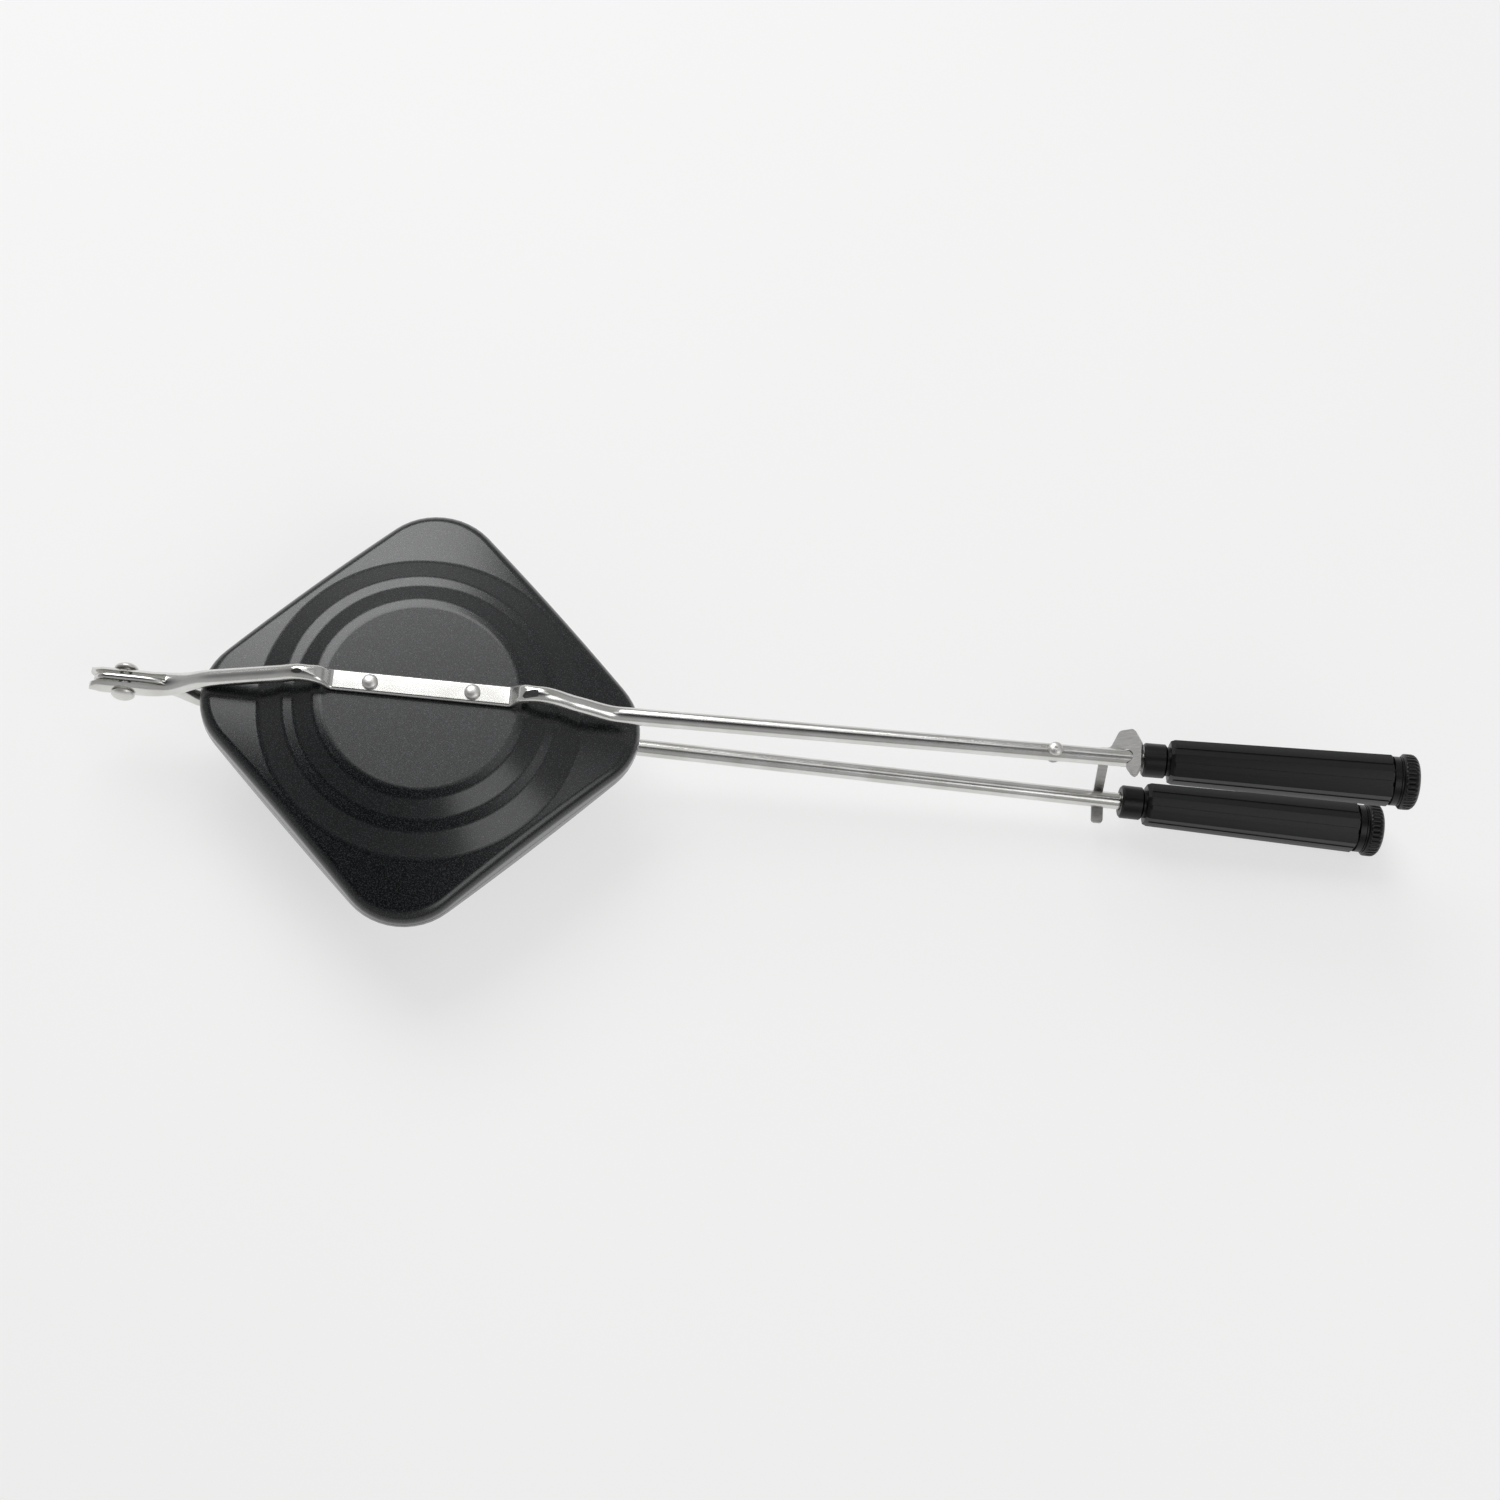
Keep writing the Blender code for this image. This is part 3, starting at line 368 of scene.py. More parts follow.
bpy.data.objects.remove(cone)
upper_shell.vertex_groups.remove(upper_shell.vertex_groups["outline"])

bpy.ops.object.mode_set(mode="EDIT")
pick("EDGE", lambda edge: edge.is_boundary)
bpy.ops.mesh.extrude_edges_move()
rim_level = JOINT_LEVEL + TOUCH_GAP / 2
bpy.ops.transform.resize(value=(1, 1, 0), center_override=(0, 0, rim_level))
pick("EDGE", lambda edge: all(
    from_axis(p) > BEAD_RADIUS + MM and p.co.z > rim_level + MM for p in edge.verts
) and not edge.is_boundary)
bpy.ops.mesh.bevel(
    offset=RIM_ROUND, segments=8, affect="EDGES", profile=0.5, clamp_overlap=False
)
for ring_radius, ring_level in PRESS_STEPS:
    softness = BEAD_SOFTNESS if ring_radius > 60 * MM else STEP_SOFTNESS
    pick("EDGE", lambda edge: all(
        close(from_axis(p), ring_radius) and close(p.co.z, JOINT_LEVEL + ring_level)
        for p in edge.verts
    ))
    bpy.ops.mesh.bevel(offset=softness, segments=3, affect="EDGES", profile=0.5)
bpy.ops.mesh.select_all(action="SELECT")
bpy.ops.mesh.normals_make_consistent(inside=False)
shape = bmesh.from_edit_mesh(upper_shell.data)
disc = max(shape.faces, key=lambda face: face.calc_area())
if disc.normal.z < 0:
    bpy.ops.mesh.flip_normals()
leave_edit()
use_modifier(upper_shell, "SOLIDIFY", thickness=PAN_SHEET, offset=-1.0, use_even_offset=True)
for reach in (-RIVET_REACH, RIVET_REACH):
    drill(upper_shell, RIVET_HOLE, (reach, ARM_Y, JOINT_LEVEL + DISC_LEVEL), RIVET_HOLE_DEPTH)
smooth_piece(upper_shell, 30)
lower_shell = turned_over(upper_shell, "lower_pressed_pan")

# Sprayed fluoropolymer over pressed steel: a near-black coat full of fine metal flakes under
# a clear top coat, with a soft sheen and a slight orange peel. The flakes are drawn at
# about 0.3 mm, several times their real size, so that they show.
coat, tree = start_material("speckled_non_stick_coat")
place = add_node(tree, "ShaderNodeTexCoord")
flakes = add_node(
    tree, "ShaderNodeTexNoise", {"Scale": 1 / (0.5 * MM), "Detail": 2.0, "Roughness": 0.6},
    {"Vector": place.outputs["Object"]},
)
flake_share = add_node(
    tree, "ShaderNodeMapRange", {"From Min": 0.5, "From Max": 0.9},
    {"Value": flakes.outputs["Fac"]},
)
clouds = add_node(
    tree, "ShaderNodeTexNoise", {"Scale": 1 / (28 * MM), "Detail": 3.0},
    {"Vector": place.outputs["Object"]},
)
ground = add_node(
    tree, "ShaderNodeValToRGB",
    {"stops": [(0.35, linear("#040506")), (0.65, linear("#07080a"))]},
    {"Fac": clouds.outputs["Fac"]},
)
speckled = add_node(
    tree, "ShaderNodeMix", {"data_type": "RGBA", 7: linear("#5e6567")},
    {0: flake_share.outputs["Result"], 6: ground.outputs["Color"]},
)
sheen_spread = add_node(
    tree, "ShaderNodeMapRange", {"To Min": 0.23, "To Max": 0.3}, {"Value": flakes.outputs["Fac"]}
)
peel = add_node(
    tree, "ShaderNodeTexNoise", {"Scale": 1 / (1.6 * MM), "Detail": 2.0},
    {"Vector": place.outputs["Object"]},
)
relief = add_node(
    tree, "ShaderNodeBump", {"Strength": 0.12, "Distance": 0.05 * MM},
    {"Height": peel.outputs["Fac"]},
)
shader = add_node(
    tree, "ShaderNodeBsdfPrincipled",
    {"IOR": 1.4, "Coat Weight": 0.8, "Coat Roughness": 0.23, "Coat IOR": 1.45},
    {
        "Base Color": speckled.outputs[2], "Metallic": flake_share.outputs["Result"],
        "Roughness": sheen_spread.outputs["Result"], "Normal": relief.outputs["Normal"],
    },
)
finish_material(tree, shader)
for shell, body in ((upper_shell, "upper_half"), (lower_shell, "lower_half")):
    shell.data.materials.clear()
    shell.data.materials.append(coat)
    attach(shell, body)
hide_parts("upper_pan")
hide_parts("lower_pan")


# Arms. One plated steel tube for each half: pressed flat where it crosses its pan, humped
# at both ends of the flat, and run straight to the grip. The upper tube ends in the
# hinge's fork and the lower one in a flat tongue.

TUBE_RADIUS = 3.6 * MM
TUBE_WALL = 0.9 * MM
ARM_SLOPE = 0.0368
ARM_TILT = atan(ARM_SLOPE)
PAN_TIP = 91.64 * MM
STRIP_HALF_LENGTH = 36.0 * MM
STRIP_LEVEL = 24.274 * MM
STRIP_WIDTH = 9.0 * MM
STRIP_THICKNESS = 2.4 * MM
HUMP_REACH = 46.5 * MM
FALL_END = 82.0 * MM
HINGE_REACH = 123.34 * MM
NECK_REACH = 106.04 * MM
TUBE_END = 397.27 * MM
EAR_HALF = 6.0 * MM
FORK_HALF_WIDTH = 4.8 * MM
FORK_NOSE = 14.2 * MM
TONGUE_HALF_WIDTH = 1.5 * MM
TONGUE_NOSE = 12.6 * MM
SLOT_SIZE = (35.92 * MM, 5.0 * MM, 24 * MM)
SLOT_STEP = 3.85 * MM
PIN_HOLE = 2.6 * MM
BORE_START = 94 * MM
STOP_REACH = 263.01 * MM
STOP_HOLE = 1.6 * MM
# The pinch marks on the humps: place along the arm, height above the middle, and pitch.
NIPS = (
    (-51.4 * MM, 3.6 * MM, radians(-12)),
    (-49.3 * MM, 3.6 * MM, radians(-7)),
    (44.6 * MM, 2.8 * MM, radians(-9.6)),
)
NIP_BOX = (8 * MM, 5 * MM, 2 * MM)
NIP_DEPTH = 0.18 * MM
NIP_TILT = radians(12)


def run_level(x):
    """Height of the straight run's middle above the plane where the pans meet."""
    return 16.8 * MM + ARM_SLOPE * (x - PAN_TIP)


BENDS = (
    (-137.54 * MM, 0.0),
    (-123.34 * MM, 0.0),
    (-113.34 * MM, 0.0),
    (-106.04 * MM, 1.6 * MM),
    (-87.14 * MM, 12.6 * MM),
    (-58.0 * MM, 24.974 * MM),
    (-49.5 * MM, 28.474 * MM),
    (-43.5 * MM, 28.474 * MM),
    (-36.0 * MM, STRIP_LEVEL),
    (36.0 * MM, STRIP_LEVEL),
    (43.5 * MM, 29.874 * MM),
    (49.5 * MM, 29.874 * MM),
    (64.25 * MM, (29.874 * MM + run_level(FALL_END)) / 2),
    (FALL_END, run_level(FALL_END)),
)


def bend_slope(index):
    """The gentler of the two chords at a bend, level at crests and at both ends."""
    if index in (0, len(BENDS) - 1):
        return 0.0
    (x0, z0), (x1, z1), (x2, z2) = BENDS[index - 1:index + 2]
    before = (z1 - z0) / (x1 - x0)
    after = (z2 - z1) / (x2 - x1)
    return min(before, after, key=abs) if before * after > 0 else 0.0


def bend_level(x):
    """Height of the tube's middle at x, on a smooth line through the bends."""
    if x >= FALL_END:
        return run_level(x)
    index = 0
    while index < len(BENDS) - 2 and x > BENDS[index + 1][0]:
        index += 1
    (x0, z0), (x1, z1) = BENDS[index:index + 2]
    span = x1 - x0
    share = (x - x0) / span
    rest = 1 - share
    leaving = rest ** 2 * ((1 + 2 * share) * z0 + share * span * bend_slope(index))
    arriving = share ** 2 * ((1 + 2 * rest) * z1 - rest * span * bend_slope(index + 1))
    return leaving + arriving


def bend_tilt(x):
    step = TOUCH_GAP
    if abs(x) < STRIP_HALF_LENGTH:
        return 0.0
    return atan((bend_level(x + step) - bend_level(x - step)) / (2 * step))


def eased(x, knots):
    """A size at x, easing from one (x, value) to the next."""
    if x <= knots[0][0]:
        return knots[0][1]
    for (x0, value0), (x1, value1) in zip(knots, knots[1:]):
        if x <= x1:
            share = (x - x0) / (x1 - x0)
            return value0 + (value1 - value0) * share * share * (3 - 2 * share)
    return knots[-1][1]


def spread(start, end, count):
    return [start + (end - start) * step / count for step in range(count)]


def pick_loop(loop, test=None):
    """Select the points of one loop of the tube, or those that pass the test."""
    pick("VERT", lambda point: point.index in loop and (test is None or test(point.co)))


def place_loop(loop, x, half_width, half_height):
    """Press one loop of the straight tube to its section, tilt it and lift it."""
    corner = min(half_width, half_height)
    middle = (x, ARM_Y, JOINT_LEVEL)
    pick_loop(loop)
    size = corner / TUBE_RADIUS
    if size != 1.0:
        bpy.ops.transform.resize(value=(1, size, size), center_override=middle)
    for side in (-1, 1):
        if half_width > corner:
            pick_loop(loop, lambda place: side * (place.y - ARM_Y) > 0)
            bpy.ops.transform.translate(value=(0, side * (half_width - corner), 0))
        if half_height > corner:
            pick_loop(loop, lambda place: side * (place.z - JOINT_LEVEL) > 0)
            bpy.ops.transform.translate(value=(0, 0, side * (half_height - corner)))
    pick_loop(loop)
    bpy.ops.transform.rotate(value=bend_tilt(x), orient_axis="Y", center_override=middle)
    bpy.ops.transform.translate(value=(0, 0, bend_level(x)))


def bent_arm(name, ear_half_width, nose):
    """The tube from the hinge's nose to its end in the grip."""
    tip = -HINGE_REACH - nose
    places = [tip + EAR_HALF * (1 - cos(radians(turn))) for turn in (8, 24, 40, 56, 72, 90)]
    places += [-117.0 * MM, -113.34 * MM]
    places += spread(-110.8 * MM, -52.0 * MM, 24)
    places += spread(-52.0 * MM, -STRIP_HALF_LENGTH, 18)
    places += [-36.0 * MM, -33.6 * MM, 0.0, 33.6 * MM]
    places += spread(STRIP_HALF_LENGTH, 52.0 * MM, 18)
    places += spread(52.0 * MM, 96.0 * MM, 20)
    places += [96.0 * MM, 150 * MM, 210 * MM, TUBE_END]
    bpy.ops.object.select_all(action="DESELECT")
    bpy.ops.mesh.primitive_circle_add(
        vertices=32, radius=TUBE_RADIUS, location=(places[0], ARM_Y, JOINT_LEVEL),
        rotation=(0, pi / 2, 0),
    )
    arm = edit_piece(name)
    pick("VERT", lambda point: True)
    bpy.ops.transform.rotate(
        value=pi / 32, orient_axis="X", center_override=(0, ARM_Y, JOINT_LEVEL)
    )
    pick("EDGE", lambda edge: True)
    for before, after in zip(places, places[1:]):
        bpy.ops.mesh.extrude_edges_move(TRANSFORM_OT_translate={"value": (after - before, 0, 0)})
    points = bmesh.from_edit_mesh(arm.data).verts
    loops = [{point.index for point in points if close(point.co.x, x)} for x in places]
    for x, loop in zip(places, loops):
        if x < tip + EAR_HALF:
            half_height = EAR_HALF * sqrt(1 - (1 - (x - tip) / EAR_HALF) ** 2)
        else:
            half_height = eased(x, (
                (-HINGE_REACH + EAR_HALF, EAR_HALF), (-PAN_TIP, TUBE_RADIUS),
                (-49.5 * MM, TUBE_RADIUS), (-36.0 * MM, STRIP_THICKNESS / 2),
                (36.0 * MM, STRIP_THICKNESS / 2), (49.5 * MM, TUBE_RADIUS),
            ))
        half_width = eased(x, (
            (-NECK_REACH, ear_half_width), (-PAN_TIP, TUBE_RADIUS),
            (-HUMP_REACH, TUBE_RADIUS), (-36.0 * MM, STRIP_WIDTH / 2),
            (36.0 * MM, STRIP_WIDTH / 2), (HUMP_REACH, TUBE_RADIUS),
        ))
        place_loop(loop, x, half_width, half_height)
    pick("EDGE", lambda edge: edge.is_boundary)
    bpy.ops.mesh.edge_face_add()
    bpy.ops.mesh.select_all(action="SELECT")
    bpy.ops.mesh.normals_make_consistent(inside=False)
    leave_edit()
    return arm


def finish_arm(arm, side):
    """Drill the hinge's eye and the rivet holes, nip the humps and hollow the tube's end.

    The side is 1 for the upper arm and -1 for the lower one."""
    drill(arm, PIN_HOLE, (-HINGE_REACH, ARM_Y, JOINT_LEVEL), 16 * MM, (pi / 2, 0, 0))
    for reach in (-RIVET_REACH, RIVET_REACH):
        drill(
            arm, RIVET_HOLE, (reach, ARM_Y, JOINT_LEVEL + side * STRIP_LEVEL), RIVET_HOLE_DEPTH
        )
    for reach, crest, pitch in NIPS:
        facing = Vector((sin(pitch), -sin(NIP_TILT), cos(NIP_TILT)))
        off_middle = crest - NIP_DEPTH + NIP_BOX[2] / 2
        spot = Vector((reach, ARM_Y, bend_level(reach))) + facing * off_middle
        spot.z = JOINT_LEVEL + side * spot.z
        facing.z *= side
        bpy.ops.object.select_all(action="DESELECT")
        bpy.ops.mesh.primitive_cube_add(
            size=1.0, location=spot, rotation=(side * NIP_TILT, side * pitch, 0)
        )
        bpy.context.object.scale = NIP_BOX
        bpy.ops.object.transform_apply(location=True, rotation=True, scale=True)
        cut_away(arm, bpy.context.object)
        bpy.ops.object.mode_set(mode="EDIT")
        pick("FACE", lambda face: face.normal.dot(facing.normalized()) > 0.999 and (
            face.calc_center_median() - spot
        ).length < 3 * MM)
        bpy.ops.mesh.region_to_loop()
        bpy.ops.mesh.mark_sharp()
        leave_edit()
    bore_end = TUBE_END + 4 * MM
    middle = (BORE_START + bore_end) / 2
    drill(
        arm, TUBE_RADIUS - TUBE_WALL, (middle, ARM_Y, JOINT_LEVEL + side * run_level(middle)),
        (bore_end - BORE_START) / cos(ARM_TILT), (0, pi / 2 - side * ARM_TILT, 0),
    )


upper_tube = bent_arm("upper_bent_tube", FORK_HALF_WIDTH, FORK_NOSE)

# The fork's slot: a block that is deeper below, where the lower tongue leaves it.
bpy.ops.object.select_all(action="DESELECT")
bpy.ops.mesh.primitive_cube_add(size=1.0, location=(-124.0 * MM, ARM_Y, JOINT_LEVEL))
bpy.context.object.scale = SLOT_SIZE
slot_block = edit_piece("fork_slot")
pick("FACE", lambda face: True)
bpy.ops.mesh.bisect(plane_co=(0, 0, JOINT_LEVEL + SLOT_STEP), plane_no=(0, 0, 1))
pick("FACE", lambda face: face.normal.x > 0.9 and face.calc_center_median().z < JOINT_LEVEL)
bpy.ops.mesh.extrude_region_move(TRANSFORM_OT_translate={"value": (7.5 * MM, 0, 0)})
pick("EDGE", lambda edge: all(
    p.co.x > -100 * MM and p.co.z > JOINT_LEVEL for p in edge.verts
))
bpy.ops.transform.translate(value=(0, 0, -SLOT_STEP))
leave_edit()
cut_away(upper_tube, slot_block)
finish_arm(upper_tube, 1)
drill(
    upper_tube, STOP_HOLE, (STOP_REACH, ARM_Y, JOINT_LEVEL + run_level(STOP_REACH)), 12 * MM,
    (0, -ARM_TILT, 0),
)
smooth_piece(upper_tube, 35)

# The tongue's nose fills the fork's slot to near its mouth.
tongue_tube = bent_arm("upper_tongue_tube", TONGUE_HALF_WIDTH, TONGUE_NOSE)
lower_tube = turned_over(tongue_tube, "lower_bent_tube")
bpy.data.objects.remove(tongue_tube)
finish_arm(lower_tube, -1)
smooth_piece(lower_tube, 35)

# Nickel-plated drawn steel tube: a near-white mirror softened by fine lengthwise draw
# lines. The lines are drawn about 0.35 mm wide so that they show.
plating, tree = start_material("nickel_plated_drawn_tube")
place = add_node(tree, "ShaderNodeTexCoord")
along = add_node(
    tree, "ShaderNodeMapping", {"Scale": (1 / (45 * MM), 1 / (0.7 * MM), 1 / (0.7 * MM))},
    {"Vector": place.outputs["Object"]},
)
draw_lines = add_node(
    tree, "ShaderNodeTexNoise", {"Scale": 1.0, "Detail": 3.0}, {"Vector": along.outputs["Vector"]}
)
blush = add_node(
    tree, "ShaderNodeTexNoise", {"Scale": 1 / (14 * MM), "Detail": 2.0},
    {"Vector": place.outputs["Object"]},
)
tone = add_node(
    tree, "ShaderNodeValToRGB",
    {"stops": [(0.3, linear("#d2d1cd")), (0.7, linear("#e5e5e3"))]},
    {"Fac": blush.outputs["Fac"]},
)
gloss = add_node(
    tree, "ShaderNodeMapRange", {"To Min": 0.16, "To Max": 0.26},
    {"Value": draw_lines.outputs["Fac"]},
)
relief = add_node(
    tree, "ShaderNodeBump", {"Strength": 0.05, "Distance": 0.01 * MM},
    {"Height": draw_lines.outputs["Fac"]},
)
shader = add_node(
    tree, "ShaderNodeBsdfPrincipled", {"Metallic": 1.0},
    {
        "Base Color": tone.outputs["Color"], "Roughness": gloss.outputs["Result"],
        "Normal": relief.outputs["Normal"],
    },
)
finish_material(tree, shader)
for tube, body, node in (
    (upper_tube, "upper_half", "upper_arm"), (lower_tube, "lower_half", "lower_arm"),
):
    tube.data.materials.clear()
    tube.data.materials.append(plating)
    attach(tube, body)
    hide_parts(node)


# Rivets. Turned steel rivets with domed heads: two hold each strip to its pan and end in
# a flat head on the cooking side, one large one pins the fork to the tongue, and a small
# hollow one across the upper tube stops the latch.

DOME_STEPS = 7
SHANK_RADIUS = 2.0 * MM
HEAD_RADIUS = 3.3 * MM
HEAD_HEIGHT = 2.0 * MM
FOOT_RADIUS = 3.6 * MM
FOOT_HEIGHT = 0.8 * MM
PIN_RADIUS = 2.5 * MM
PIN_HEAD_RADIUS = 5.0 * MM
PIN_HEAD_HEIGHT = 2.8 * MM


def trace_line(name, places):
    """A new piece of edges through the places, left open for editing."""
    bpy.ops.object.select_all(action="DESELECT")
    bpy.ops.mesh.primitive_plane_add(size=MM, location=places[0])
    piece = edit_piece(name)
    bpy.ops.mesh.select_mode(type="VERT")
    bpy.ops.mesh.select_all(action="SELECT")
    bpy.ops.mesh.merge(type="CENTER")
    for before, after in zip(places, places[1:]):
        step = Vector(after) - Vector(before)
        bpy.ops.mesh.extrude_vertices_move(TRANSFORM_OT_translate={"value": step})
    return piece


def set_in_place(piece, place, turned):
    bpy.ops.object.select_all(action="DESELECT")
    piece.select_set(True)
    bpy.context.view_layer.objects.active = piece
    piece.location = place
    piece.rotation_euler = turned
    bpy.ops.object.transform_apply(location=True, rotation=True, scale=True)


def turned_piece(name, profile, place, turned, steps=40):
    """Spin a profile of (along, radius) pairs round the X axis and set it in its place."""
    piece = trace_line(name, [(along, 0.0, radius) for along, radius in profile])
    bpy.ops.mesh.select_all(action="SELECT")
    bpy.ops.mesh.spin(steps=steps, angle=2 * pi, center=(0, 0, 0), axis=(1, 0, 0))
    bpy.ops.mesh.select_all(action="SELECT")
    bpy.ops.mesh.remove_doubles(threshold=0.001 * MM)
    bpy.ops.mesh.normals_make_consistent(inside=False)
    leave_edit()
    set_in_place(piece, place, turned)
    smooth_piece(piece, 40)
    return piece


def domed_head(seat, radius, height, away):
    """A head's profile from under its rim to its crown, on the side that away points to."""
    lip = 0.14 * height
    profile = [(seat, radius - lip), (seat + away * lip, radius)]
    for step in range(1, DOME_STEPS + 1):
        turn = pi / 2 * step / DOME_STEPS
        rise = lip + (height - lip) * sin(turn)
        profile.append((seat + away * rise, radius * cos(turn)))
    return profile


def dress(piece, material, body, finish_slot, *nodes):
    """Give a piece its material and hand it to the frame."""
    piece.data.materials.clear()
    piece.data.materials.append(material)
    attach(piece, body)
    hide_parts(*nodes)


# Bright rivet steel: a satin metal with a little tumbled grain.
rivet_steel, tree = start_material("tumbled_rivet_steel")
place = add_node(tree, "ShaderNodeTexCoord")
grain = add_node(
    tree, "ShaderNodeTexNoise", {"Scale": 1 / (0.5 * MM), "Detail": 3.0},
    {"Vector": place.outputs["Object"]},
)
tone = add_node(
    tree, "ShaderNodeValToRGB",
    {"stops": [(0.3, linear("#d9d8d5")), (0.7, linear("#e9e8e5"))]},
    {"Fac": grain.outputs["Fac"]},
)
gloss = add_node(
    tree, "ShaderNodeMapRange", {"To Min": 0.36, "To Max": 0.5}, {"Value": grain.outputs["Fac"]}
)
relief = add_node(
    tree, "ShaderNodeBump", {"Strength": 0.2, "Distance": 0.03 * MM},
    {"Height": grain.outputs["Fac"]},
)
shader = add_node(
    tree, "ShaderNodeBsdfPrincipled", {"Metallic": 1.0},
    {
        "Base Color": tone.outputs["Color"], "Roughness": gloss.outputs["Result"],
        "Normal": relief.outputs["Normal"],
    },
)
finish_material(tree, shader)

rivet_head_seat = STRIP_LEVEL + STRIP_THICKNESS / 2 + TOUCH_GAP
rivet_foot_seat = DISC_LEVEL - PAN_SHEET - TOUCH_GAP
rivet_profile = [
    (rivet_foot_seat - FOOT_HEIGHT, 0.0),
    (rivet_foot_seat - FOOT_HEIGHT, FOOT_RADIUS - 0.3 * MM),
    (rivet_foot_seat - FOOT_HEIGHT + 0.3 * MM, FOOT_RADIUS),
    (rivet_foot_seat, FOOT_RADIUS),
    (rivet_foot_seat, SHANK_RADIUS),
    (rivet_head_seat, SHANK_RADIUS),
] + domed_head(rivet_head_seat, HEAD_RADIUS, HEAD_HEIGHT, 1)
for word, side in (("upper", 1), ("lower", -1)):
    for number, reach in ((1, -RIVET_REACH), (2, RIVET_REACH)):
        rivet = turned_piece(
            f"{word}_strip_rivet_{number}", rivet_profile,
            (reach, ARM_Y, JOINT_LEVEL), (0, -side * pi / 2, 0),
        )
        dress(rivet, rivet_steel, f"{word}_half", "rivet_steel", f"{word}_pan_rivet_{number}")

pin_seat = FORK_HALF_WIDTH + TOUCH_GAP
pin_profile = domed_head(-pin_seat, PIN_HEAD_RADIUS, PIN_HEAD_HEIGHT, -1)[::-1]
pin_profile += [(-pin_seat, PIN_RADIUS), (pin_seat, PIN_RADIUS)]
pin_profile += domed_head(pin_seat, PIN_HEAD_RADIUS, PIN_HEAD_HEIGHT, 1)
hinge_pin = turned_piece(
    "fork_rivet", pin_profile, (-HINGE_REACH, ARM_Y, JOINT_LEVEL), (0, 0, pi / 2)
)
dress(hinge_pin, rivet_steel, "lower_half", "rivet_steel", "hinge_rivet")

stop_seat = TUBE_RADIUS + TOUCH_GAP
stop_head = domed_head(stop_seat, 3.0 * MM, 1.6 * MM, 1)
stop_profile = [(-along, radius) for along, radius in stop_head[::-1]]
stop_profile += [(-stop_seat, 1.3 * MM), (stop_seat, 1.3 * MM)] + stop_head[:-1]
stop_profile += [(stop_seat + 1.56 * MM, 0.62 * MM), (stop_seat + 0.7 * MM, 0.4 * MM)]
stop_profile += [(stop_seat + 0.7 * MM, 0.0)]
stop_rivet = turned_piece(
    "hollow_stop_rivet", stop_profile,
    (STOP_REACH, ARM_Y, JOINT_LEVEL + run_level(STOP_REACH)), (0, -pi / 2 - ARM_TILT, 0),
)
dress(stop_rivet, rivet_steel, "upper_half", "rivet_steel", "latch_stop_rivet")


# Latch. One piece of bright sheet steel: a slanting plate that clasps the upper tube, a
# thumb lug behind, a finger in front, and a leg that reaches down behind the lower tube
# and turns in under it. Its edges are cut and lightly tumbled.

LATCH_REACH = 290.81 * MM
LATCH_SHEET = 1.5 * MM
LATCH_SLANT = radians(35)
LATCH_HOLE = 3.97 * MM
LATCH_TIP = 9.52 * MM
CLASP = LATCH_HOLE + 1.3 * MM
latch_place = (LATCH_REACH, ARM_Y, JOINT_LEVEL + run_level(LATCH_REACH))

plate_edge = (
    (-LATCH_TIP, -1.5 * MM),
    (2.72 * MM, -1.5 * MM),
    (2.72 * MM, -CLASP),
    (5.32 * MM, -9.2 * MM),
    (6.92 * MM, -9.2 * MM),
    (LATCH_TIP, -CLASP),
    (LATCH_TIP, CLASP),
    (5.77 * MM, 12.0 * MM),
    (-0.73 * MM, 12.0 * MM),
    (-4.48 * MM, CLASP),
    (-LATCH_TIP, CLASP),
)
latch = trace_line("bent_sheet_latch", [(x, y, -LATCH_SHEET / 2) for x, y in plate_edge])
bpy.ops.mesh.select_all(action="SELECT")
bpy.ops.mesh.edge_face_add()
pick("VERT", lambda point: point.co.y > 10 * MM)
bpy.ops.mesh.bevel(offset=1.1 * MM, segments=5, affect="VERTICES", profile=0.5)
pick("VERT", lambda point: point.co.y < -8 * MM)
bpy.ops.mesh.bevel(offset=0.9 * MM, segments=4, affect="VERTICES", profile=0.5)
pick("VERT", lambda point: close(abs(point.co.y), CLASP) and abs(point.co.x) > 2 * MM)
bpy.ops.mesh.bevel(offset=0.8 * MM, segments=4, affect="VERTICES", profile=0.5)
pick("FACE", lambda face: True)
bpy.ops.mesh.extrude_region_move(TRANSFORM_OT_translate={"value": (0, 0, LATCH_SHEET)})
bpy.ops.mesh.select_all(action="SELECT")
bpy.ops.mesh.normals_make_consistent(inside=False)
leave_edit()
set_in_place(latch, (0, 0, 0), (0, -LATCH_SLANT, 0))

leg_y = 4.92 * MM
leg_width = 4.0 * MM
foot_level = -52.98 * MM
leg_line = (
    (-7.8 * MM, leg_y, -3.96 * MM),
    (-4.0 * MM, leg_y, foot_level + LATCH_SHEET),
    (-4.25 * MM, leg_y - 0.35 * MM, foot_level + 0.35 * MM),
    (-4.5 * MM, leg_y - LATCH_SHEET, foot_level),
    (-4.5 * MM, -9.0 * MM, foot_level),
)
leg = trace_line("latch_leg", leg_line)
pick("EDGE", lambda edge: True)
bpy.ops.mesh.extrude_edges_move(TRANSFORM_OT_translate={"value": (leg_width, 0, 0)})
pick("VERT", lambda point: point.co.x > -2.2 * MM and point.co.z < foot_level + MM)
bpy.ops.transform.translate(value=(1.0 * MM, 0, 0))
pick("VERT", lambda point: point.co.y < -8 * MM)
bpy.ops.mesh.bevel(offset=1.4 * MM, segments=5, affect="VERTICES", profile=0.5)
leave_edit()
use_modifier(leg, "SOLIDIFY", thickness=LATCH_SHEET, offset=0.0, use_even_offset=True)
cut_away(latch, leg, "UNION")
drill(latch, LATCH_HOLE, (0, 0, 0), 60 * MM, (0, pi / 2, 0))
